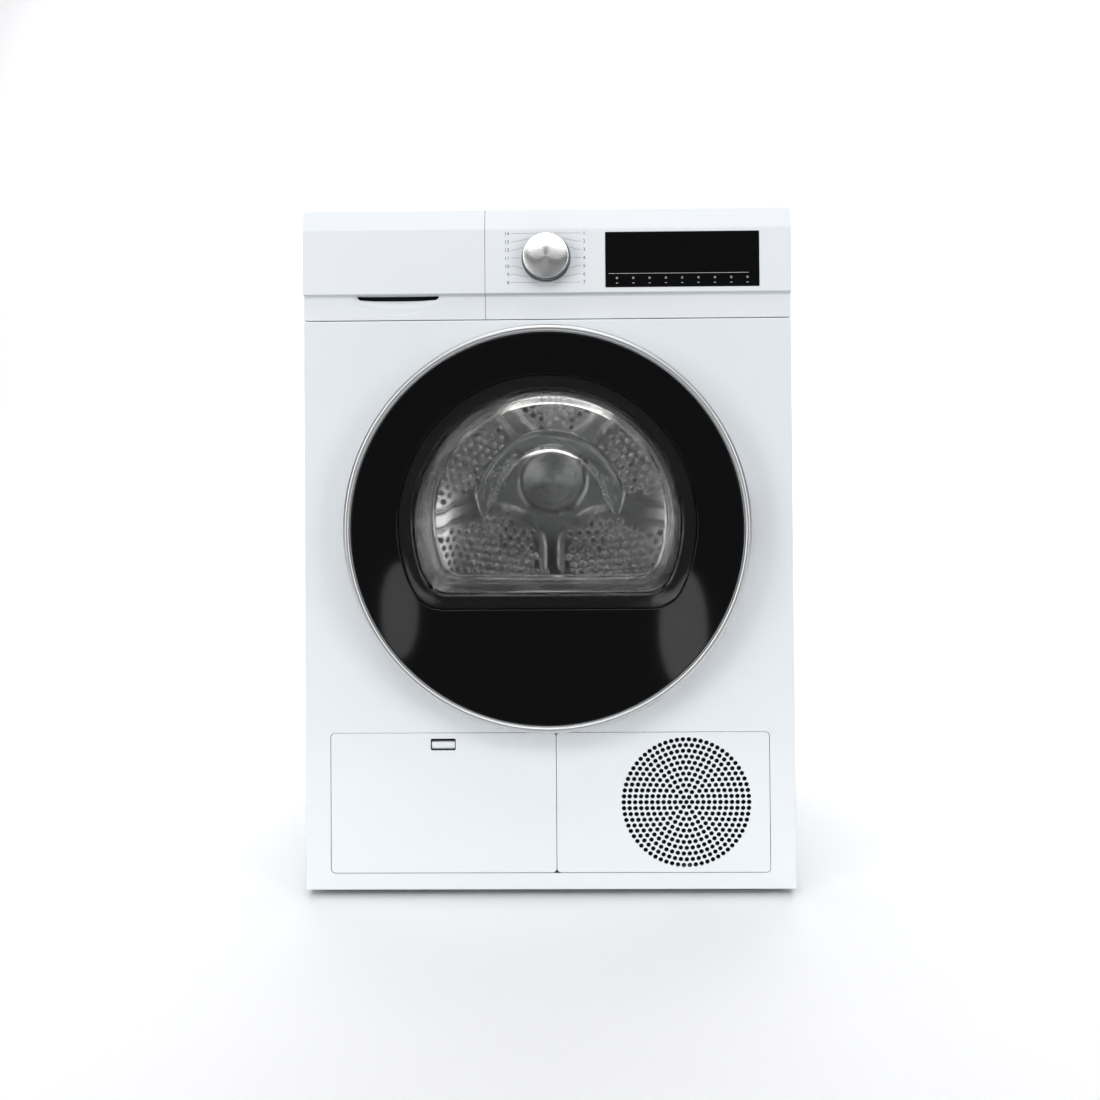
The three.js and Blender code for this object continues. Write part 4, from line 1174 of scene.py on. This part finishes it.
@dataclass
class Drum(Assembly):
    """Stainless drum: shell, perforated back with five fields, hub and three lifters.

    Attributes:
        inner: Inner radius of an air field.
        outer: Outer radius of an air field.
        spoke: Half width of the smooth spoke between two fields.
        pitch: Distance between perforations.
        hole: Radius of a perforation.
        margin: Distance from a field's edge to its perforations.
        fields: Number of fields.
    """

    inner: float = 72 * MM
    outer: float = 262 * MM
    spoke: float = 8.5 * MM
    pitch: float = 14.6 * MM
    hole: float = 4.3 * MM
    margin: float = 17 * MM
    fields: int = 5

    def build(self) -> None:
        """Model every piece of the drum."""
        self._shell()
        self._back()
        self._beads()
        self._hub()
        self._lifters()

    @property
    def face(self) -> float:
        """Place of the back wall's front face."""
        return Span.of("drum_back").lo.y

    def _shell(self) -> None:
        """Rolled sheet with a front lip and two pressed beads."""
        y0, y1, r, sheet = DRUM.lo.y, DRUM.hi.y, DRUM.size.x / 2, 0.7 * MM
        lip = r - 62 * MM
        outside = [(lip, y0 + 1 * MM), (lip + 1 * MM, y0),
                   *steps_from(r, y0, (-4, 0), (-1, 1), (0, 4), (0, 70), (-2.5, 75), (-2.5, 80),
                               (0, 85)),
                   *steps_from(r, y1, (0, -85), (-2.5, -80), (-2.5, -75), (0, -70), (0, 0))]
        inside = [(max(x - sheet, lip + 0.3 * MM), y + (sheet if y < y0 + 3 * MM else 0))
                  for x, y in outside]
        shell = self.bench.turned("drum_shell_sheet", [*outside, *reversed(inside)], DRUM.axis,
                                  128, ring=True)
        self.fit(self.bench.smooth(shell, 30), STAINLESS, "drum", "stainless", "drum_shell")

    def _field(self, index: int, inset: float, count: int = 160) -> list[Point]:
        """Outline of one air field.

        Args:
            index: Number of the field; the first is at the top.
            inset: How far inside the field's edge the outline lies.
            count: Number of points.

        Returns:
            Rounded outline in X and Z.
        """
        low, high, side = self.inner + inset, self.outer - inset, self.spoke + inset
        half = math.pi / self.fields
        a_low, a_high = half - math.asin(side / low), half - math.asin(side / high)
        mid = math.pi / 2 + index * 2 * math.pi / self.fields
        corners = [(low, -a_low), (high, -a_high), (high, a_high), (low, a_low)]
        outline: list[Point] = []
        shares = (0.27, 0.34, 0.27, 0.12)
        for k, share in enumerate(shares):
            (r0, t0), (r1, t1) = corners[k], corners[(k + 1) % 4]
            steps = round(count * share)
            for j in range(steps):
                f = j / steps
                if k in (0, 2):
                    p0 = Vector((r0 * math.cos(t0), r0 * math.sin(t0)))
                    p1 = Vector((r1 * math.cos(t1), r1 * math.sin(t1)))
                    p = p0.lerp(p1, f)
                    radius, turn = p.length, math.atan2(p.y, p.x)
                else:
                    radius, turn = r0, t0 + (t1 - t0) * f
                outline.append((DRUM.mid.x + radius * math.cos(mid + turn),
                                DRUM.mid.z + radius * math.sin(mid + turn)))
        return softened(outline, 9)

    def _spots(self) -> list[Point]:
        """Places of all perforations, on a hexagonal grid in each field."""
        spots = []
        rise = self.pitch * math.sqrt(3) / 2
        for index in range(self.fields):
            mid = math.pi / 2 + index * 2 * math.pi / self.fields
            for row in range(-14, 15):
                for col in range(0, 20):
                    u = (col + 0.5 * (row % 2)) * self.pitch + 0.058
                    v = row * rise
                    radius, turn = math.hypot(u, v), math.atan2(v, u)
                    gap = radius * math.sin(math.pi / self.fields - abs(turn))
                    if (self.inner + self.margin <= radius <= self.outer - self.margin
                            and gap >= self.spoke + self.margin):
                        spots.append((DRUM.mid.x + radius * math.cos(mid + turn),
                                      DRUM.mid.z + radius * math.sin(mid + turn)))
        return spots

    def _back(self) -> None:
        """Back wall with real perforations and a raised dimple round each."""
        box, y = Span.of("drum_back"), self.face
        spots = [Vector((x, 0, z)) for x, z in self._spots()]
        edge = ring_outline(box.mid.x, box.mid.z, box.size.x / 2, 128)
        wall = self.bench.plate("drum_back_wall", edge, box.lo.y, box.hi.y)
        peg = self.bench.rod("peg", self.hole, y - PAST, y + PAST, Vector(), 8)
        wall = self.bench.cut(wall, self.bench.repeat(peg, spots))
        self.fit(wall, STAINLESS, "drum", "stainless", "drum_back")
        dimple = self.bench.turned("field_dimples", steps_from(
            self.hole, y, (2.3, -0.02), (1.1, -2.0), (0.2, -2.2), (-0.1, 0.2)), Vector(), 8,
            ring=True)
        dimples = self.bench.smooth(self.bench.repeat(dimple, spots), 65)
        self.fit(dimples, STAINLESS, "drum", "stainless")

    def _beads(self) -> None:
        """Three raised borders round each field."""
        y = self.face
        beads = []
        for index in range(self.fields):
            for inset, width, height in ((0.0, 4.2, 4.0), (5.6, 2.6, 2.6), (9.4, 1.6, 1.4)):
                rows = [(inset, 0.1), (inset + width * 0.2, -height * 0.75),
                        (inset + width * 0.5, -height), (inset + width * 0.8, -height * 0.75),
                        (inset + width, 0.1)]
                loops = [[Vector((x, y + rise * MM, z)) for x, z in self._field(index, shift * MM)]
                         for shift, rise in rows]
                beads.append(self.bench.wrapped("bead", loops, ring=True))
        borders = self.bench.join("field_borders", beads)
        self.fit(self.bench.smooth(borders, 60), STAINLESS, "drum", "stainless")

    def _hub(self) -> None:
        """Spun hub with a bright rolled rim."""
        box = Span.of("drum_hub")
        y, r, back = box.lo.y, box.size.x / 2, box.hi.y
        hub = self.bench.turned("drum_hub_cap", [
            (CORE, y + 1.0 * MM), (6 * MM, y + 1.4 * MM), *((r * share, y + rise * MM) for share, rise in (
                (0.35, 2.4), (0.36, 1.9), (0.62, 3.0), (0.84, 4.0), (0.88, 2.0), (0.92, 0.4),
                (0.955, 1.4), (0.98, 4.2))), (r, back), (CORE, back)], DRUM.axis, 96)
        self.fit(self.bench.smooth(hub, 30), SPUN_STAINLESS, "drum", "stainless", "drum_hub")

    def _lifters(self) -> None:
        """Three rounded lifters along the shell."""
        r = DRUM.size.x / 2
        depth = Span.of("lifter_1")
        for number in (1, 2, 3):
            turn = math.pi / 2 - (math.pi / 3 + (number - 1) * 2 * math.pi / 3)
            out = Vector((math.cos(turn), 0, math.sin(turn)))
            side = Vector((-out.z, 0, out.x))
            loops = []
            for share, size in ((0.0, 0.50), (0.02, 0.72), (0.06, 0.90), (0.14, 1.0), (0.86, 1.0),
                                (0.94, 0.92), (0.98, 0.74), (1.0, 0.5)):
                y = depth.lo.y + share * depth.size.y
                loops.append([DRUM.axis + Vector((0, y, 0)) + side * (w * MM * (0.8 + 0.2 * size))
                              + out * (r - h * MM * size - 1 * MM) for w, h in LIFTER_SECTION])
            lifter = self.bench.smooth(self.bench.wrapped(f"lifter_{number}_shell", loops), 45)
            self.fit(lifter, LIFTER_PLASTIC, "drum", "lifter_plastic", f"lifter_{number}")


# ---------------------------------------------------------------- lower front
@dataclass
class LowerFront(Assembly):
    """Service flap with its latch, and the air grille beside it.

    Attributes:
        corner: Corner radius of both panels.
        hole: Radius of a grille hole.
        rings: Number of hole rings round the middle hole.
        reach: Radius of the outermost ring.
        middle: Place in X of the rings' middle.
    """

    corner: float = 5.0 * MM
    hole: float = 2.85 * MM
    rings: int = 11
    reach: float = 76.2 * MM
    middle: float = 166 * MM

    def build(self) -> None:
        """Model the flap, the latch, the grille and the dark plates behind them that are painted shade."""
        self._flap()
        self._latch()
        self._grille()
        self._backing()

    def _flap(self) -> None:
        """Flap with rounded edges and an open slot for the latch."""
        box, latch = Span.of("service_flap"), Span.of("flap_latch")
        flap = self.bench.plate("service_flap_panel", box.outline(self.corner), box.lo.y,
                                box.lo.y + 3 * MM)
        slot = self.bench.plate("slot_cutter", rounded(
            (latch.lo.x - 0.6 * MM, latch.lo.z - 0.6 * MM),
            (latch.hi.x + 0.6 * MM, box.hi.z - 7 * MM), 2.0 * MM), box.lo.y - PAST, box.hi.y + PAST)
        flap = self.bench.cut(flap, slot)
        flap = self.bench.bevel(flap, 0.8 * MM, 3, 50.0)
        self.fit(self.bench.polish(flap), ENAMEL, "flap", "enamel", "service_flap")

    def _latch(self) -> None:
        """Latch: a light tongue that is pressed in, with a dark plate behind it that is painted shade in
        the latch's recess.
        """
        box = Span.of("flap_latch")
        tongue_top = box.lo.z + 8.6 * MM
        tongue = self.bench.bar("flap_latch_tongue", [
            *steps_from(box.lo.y, tongue_top, (0, 0), (1, 1)), (box.hi.y - 2 * MM, tongue_top + 1 * MM),
            (box.hi.y - 2 * MM, box.lo.z), *steps_from(box.lo.y, box.lo.z, (3.4, 0), (1.2, 2))],
            box.lo.x + 0.4 * MM, box.hi.x - 0.4 * MM)
        tongue = self.bench.bevel(tongue, 0.5 * MM, 3)
        self.fit(self.bench.polish(tongue), WHITE_PLASTIC, "latch", "white_plastic", "flap_latch")
        # Near-black plate at the back of the latch above the tongue: painted shade in the recess.
        edge = rounded((box.lo.x, tongue_top), (box.hi.x, box.hi.z), 1.5 * MM)
        latch_shade = self.bench.plate("flap_latch_shade", edge, box.hi.y - 2 * MM, box.hi.y)
        self.fit(self.bench.bevel(latch_shade, 0.4 * MM, 2), SHADE, "latch", "dark_plastic")

    def _grille(self) -> None:
        """Grille plate with rings of fine holes."""
        box = Span.of("grille_panel")
        plate = self.bench.plate("air_grille_plate", box.outline(self.corner), box.lo.y,
                                 box.lo.y + 1.4 * MM)
        plate = self.bench.bevel(plate, 0.6 * MM, 3, 50.0)
        spots = [Vector((self.middle, 0, box.mid.z))]
        for ring in range(1, self.rings + 1):
            radius = self.reach * ring / self.rings
            count = 6 * ring
            spots += [Vector((x, 0, z)) for x, z in (
                (self.middle + radius * math.cos(2 * math.pi * i / count),
                 box.mid.z + radius * math.sin(2 * math.pi * i / count)) for i in range(count))]
        peg = self.bench.rod("peg", self.hole, box.lo.y - PAST, box.lo.y + PAST, Vector(), 14)
        plate = self.bench.cut(plate, self.bench.repeat(peg, spots))
        self.fit(plate, ENAMEL, "cabinet", "white_plastic", "grille_panel")

    def _backing(self) -> None:
        """Dark plates behind the grille and the flap: painted shade seen through the holes and round the
        flap's edges.
        """
        grille, flap = Span.of("grille_panel"), Span.of("service_flap")
        # Near-black plate behind the grille's holes: painted shade.
        shade_sheet = self.bench.plate("grille_shade_sheet", grille.outline(4 * MM, -6 * MM),
                                 grille.lo.y + 9 * MM, grille.lo.y + 10 * MM)
        self.fit(self.bench.bevel(shade_sheet, 0.3 * MM, 2), SHADE, "cabinet", "dark_plastic")
        # Dark plate behind the flap: painted shade in the gaps round it.
        shade_sheet = self.bench.plate("flap_shade_sheet", flap.outline(4 * MM, -1 * MM),
                                 flap.hi.y + 1.5 * MM, flap.hi.y + 2.5 * MM)
        latch = Span.of("flap_latch")
        window = self.bench.block("shade_sheet_cutter",
                                  (latch.lo.x - 3 * MM, flap.hi.y, latch.lo.z - 3 * MM),
                                  (latch.hi.x + 3 * MM, flap.hi.y + PAST, flap.hi.z + PAST))
        self.fit(self.bench.cut(shade_sheet, window), DARK_PLASTIC, "cabinet", "dark_plastic")


# ---------------------------------------------------------------- studio
@dataclass
class Studio:
    """Pale floor, soft lights and the camera.

    Attributes:
        bench: The modelling bench.
        groups: The shared shader groups.
    """

    bench: Bench
    groups: ShaderGroups

    def build(self) -> None:
        """Place the floor, the lights, the surroundings and the camera."""
        self._floor()
        self._lights()
        self._surroundings()
        self._camera()

    def _floor(self) -> None:
        """Pale floor that runs up into a wall far behind."""
        section = [(-0.95, 0.0), (3.2, 0.0), *arc(3.2, 1.2, 1.2, -math.pi / 2, 0.0, 16), (4.4, 5.0),
                   (4.5, 5.0), (4.5, -0.1), (-0.95, -0.1)]
        floor = self.bench.bar("studio_floor", section, -7.0, 7.0)
        self.bench.smooth(floor, 40)
        finish = Finish("studio_floor_paint", (0.93, 0.93, 0.935), roughness=0.75, peel=0.0,
                        drift=0.0, specular=0.1)
        floor.data.materials.append(finish.material(self.groups))

    def _light(self, name: str, place: Vector, aim: Vector, size: tuple[float, float],
               power: float) -> None:
        """Add a rectangular soft light that looks at a point.

        Args:
            name: Name of the light.
            place: Where it hangs.
            aim: The point that it faces.
            size: Width and height.
            power: Power in watts.
        """
        self.bench.clear()
        bpy.ops.object.light_add(type="AREA", location=place)
        lamp = bpy.context.object
        lamp.name = name
        lamp.data.shape = "ELLIPSE" if name.startswith("glow") else "RECTANGLE"
        lamp.data.size, lamp.data.size_y = size
        lamp.data.energy = power
        lamp.rotation_euler = (aim - place).to_track_quat("-Z", "Y").to_euler()

    def _lights(self) -> None:
        """Soft lights round the machine, small ones in the drum and two glints in the glass."""
        middle = Vector((0, 0, 0.45))
        inside = Vector((DRUM.mid.x, DRUM.hi.y, DRUM.mid.z - 0.06))
        for name, place, aim, size, power in (
                ("light_above", (0.0, -0.5, 3.0), middle, (3.2, 2.2), 42),
                ("light_left", (-2.5, -2.9, 1.3), middle, (1.5, 2.6), 47),
                ("light_right", (2.6, -2.9, 1.3), middle, (1.5, 2.6), 40),
                ("light_front", (0.0, -3.4, 2.9), middle, (3.0, 1.2), 42),
                ("drum_glow_top", (0.0, -0.16, 0.715), inside, (0.24, 0.05), 0.80),
                ("drum_glow_left", (-0.23, -0.12, 0.40), inside, (0.05, 0.16), 0.05),
                ("drum_glow_right", (0.23, -0.12, 0.42), inside, (0.05, 0.16), 0.07),
                ("light_behind", (0.0, 2.2, 3.4), Vector((0, 4.0, 0.8)), (5.0, 1.5), 200),
                ("glow_left", (-0.46, -1.95, 0.13), Vector((-0.15, -0.3, 0.34)), (0.10, 0.26), 0.12),
                ("glow_right", (0.31, -1.95, 0.08), Vector((0.15, -0.3, 0.33)), (0.13, 0.32), 0.22)):
            self._light(name, Vector(place), aim, size, power)

    def _surroundings(self) -> None:
        """Even pale surroundings."""
        world = bpy.data.worlds.new("studio_surroundings")
        world.use_nodes = True
        sky = world.node_tree.nodes["Background"]
        sky.inputs["Color"].default_value = (0.93, 0.95, 1.0, 1.0)
        sky.inputs["Strength"].default_value = 0.14
        bpy.context.scene.world = world
        bpy.context.scene.view_settings.view_transform = "Standard"

    def _camera(self) -> None:
        """Camera a little right of the middle, just above half height, framed by a small shift."""
        yaw, pitch, roll = math.radians(-0.72), math.radians(0.73), math.radians(-0.41)
        forward = Vector((math.sin(yaw) * math.cos(pitch), math.cos(yaw) * math.cos(pitch),
                          math.sin(pitch)))
        level = Vector((math.cos(yaw), -math.sin(yaw), 0))
        upward = level.cross(forward)
        right = level * math.cos(roll) + upward * math.sin(roll)
        up = upward * math.cos(roll) - level * math.sin(roll)
        data = bpy.data.cameras.new("studio_camera")
        data.sensor_width = 36.0
        data.lens = 34.8
        data.shift_x, data.shift_y = -0.0188, -0.0918
        data.dof.use_dof = False
        camera = bpy.data.objects.new("studio_camera", data)
        bpy.context.collection.objects.link(camera)
        turn = Matrix((right, up, -forward)).transposed().to_4x4()
        place = Vector((0.0446, -1.575, 0.5296))
        camera.matrix_world = Matrix.Translation(place) @ turn
        bpy.context.scene.camera = camera


# ---------------------------------------------------------------- everything together
def dress_cad(assembly: Assembly) -> None:
    """Give every CAD node the finish of its material slot."""
    own = {"drum_light": LAMP_GLASS, "loading_port": DARK_PLASTIC}
    for entry in frame["record"]["subparts"]:
        node = entry["node"]
        if node in frame["nodes"]:
            assembly.dress_node(node, own.get(node, SLOT_FINISH[entry["material_slot"]]))


def main() -> None:
    """Build the dryer's pieces and the studio in order."""
    logging.basicConfig(level=logging.INFO, format="%(name)s: %(message)s")
    bench, groups, made = Bench(), ShaderGroups(), {}
    bench.clear()
    dress_cad(Assembly(bench, groups, made))
    for kind in (Casing, Fascia, Knob, Door, Drum, LowerFront):
        kind(bench, groups, made).build()
        log.info("%s finished", kind.__name__)
    Studio(bench, groups).build()


if __name__ == "__main__":
    main()
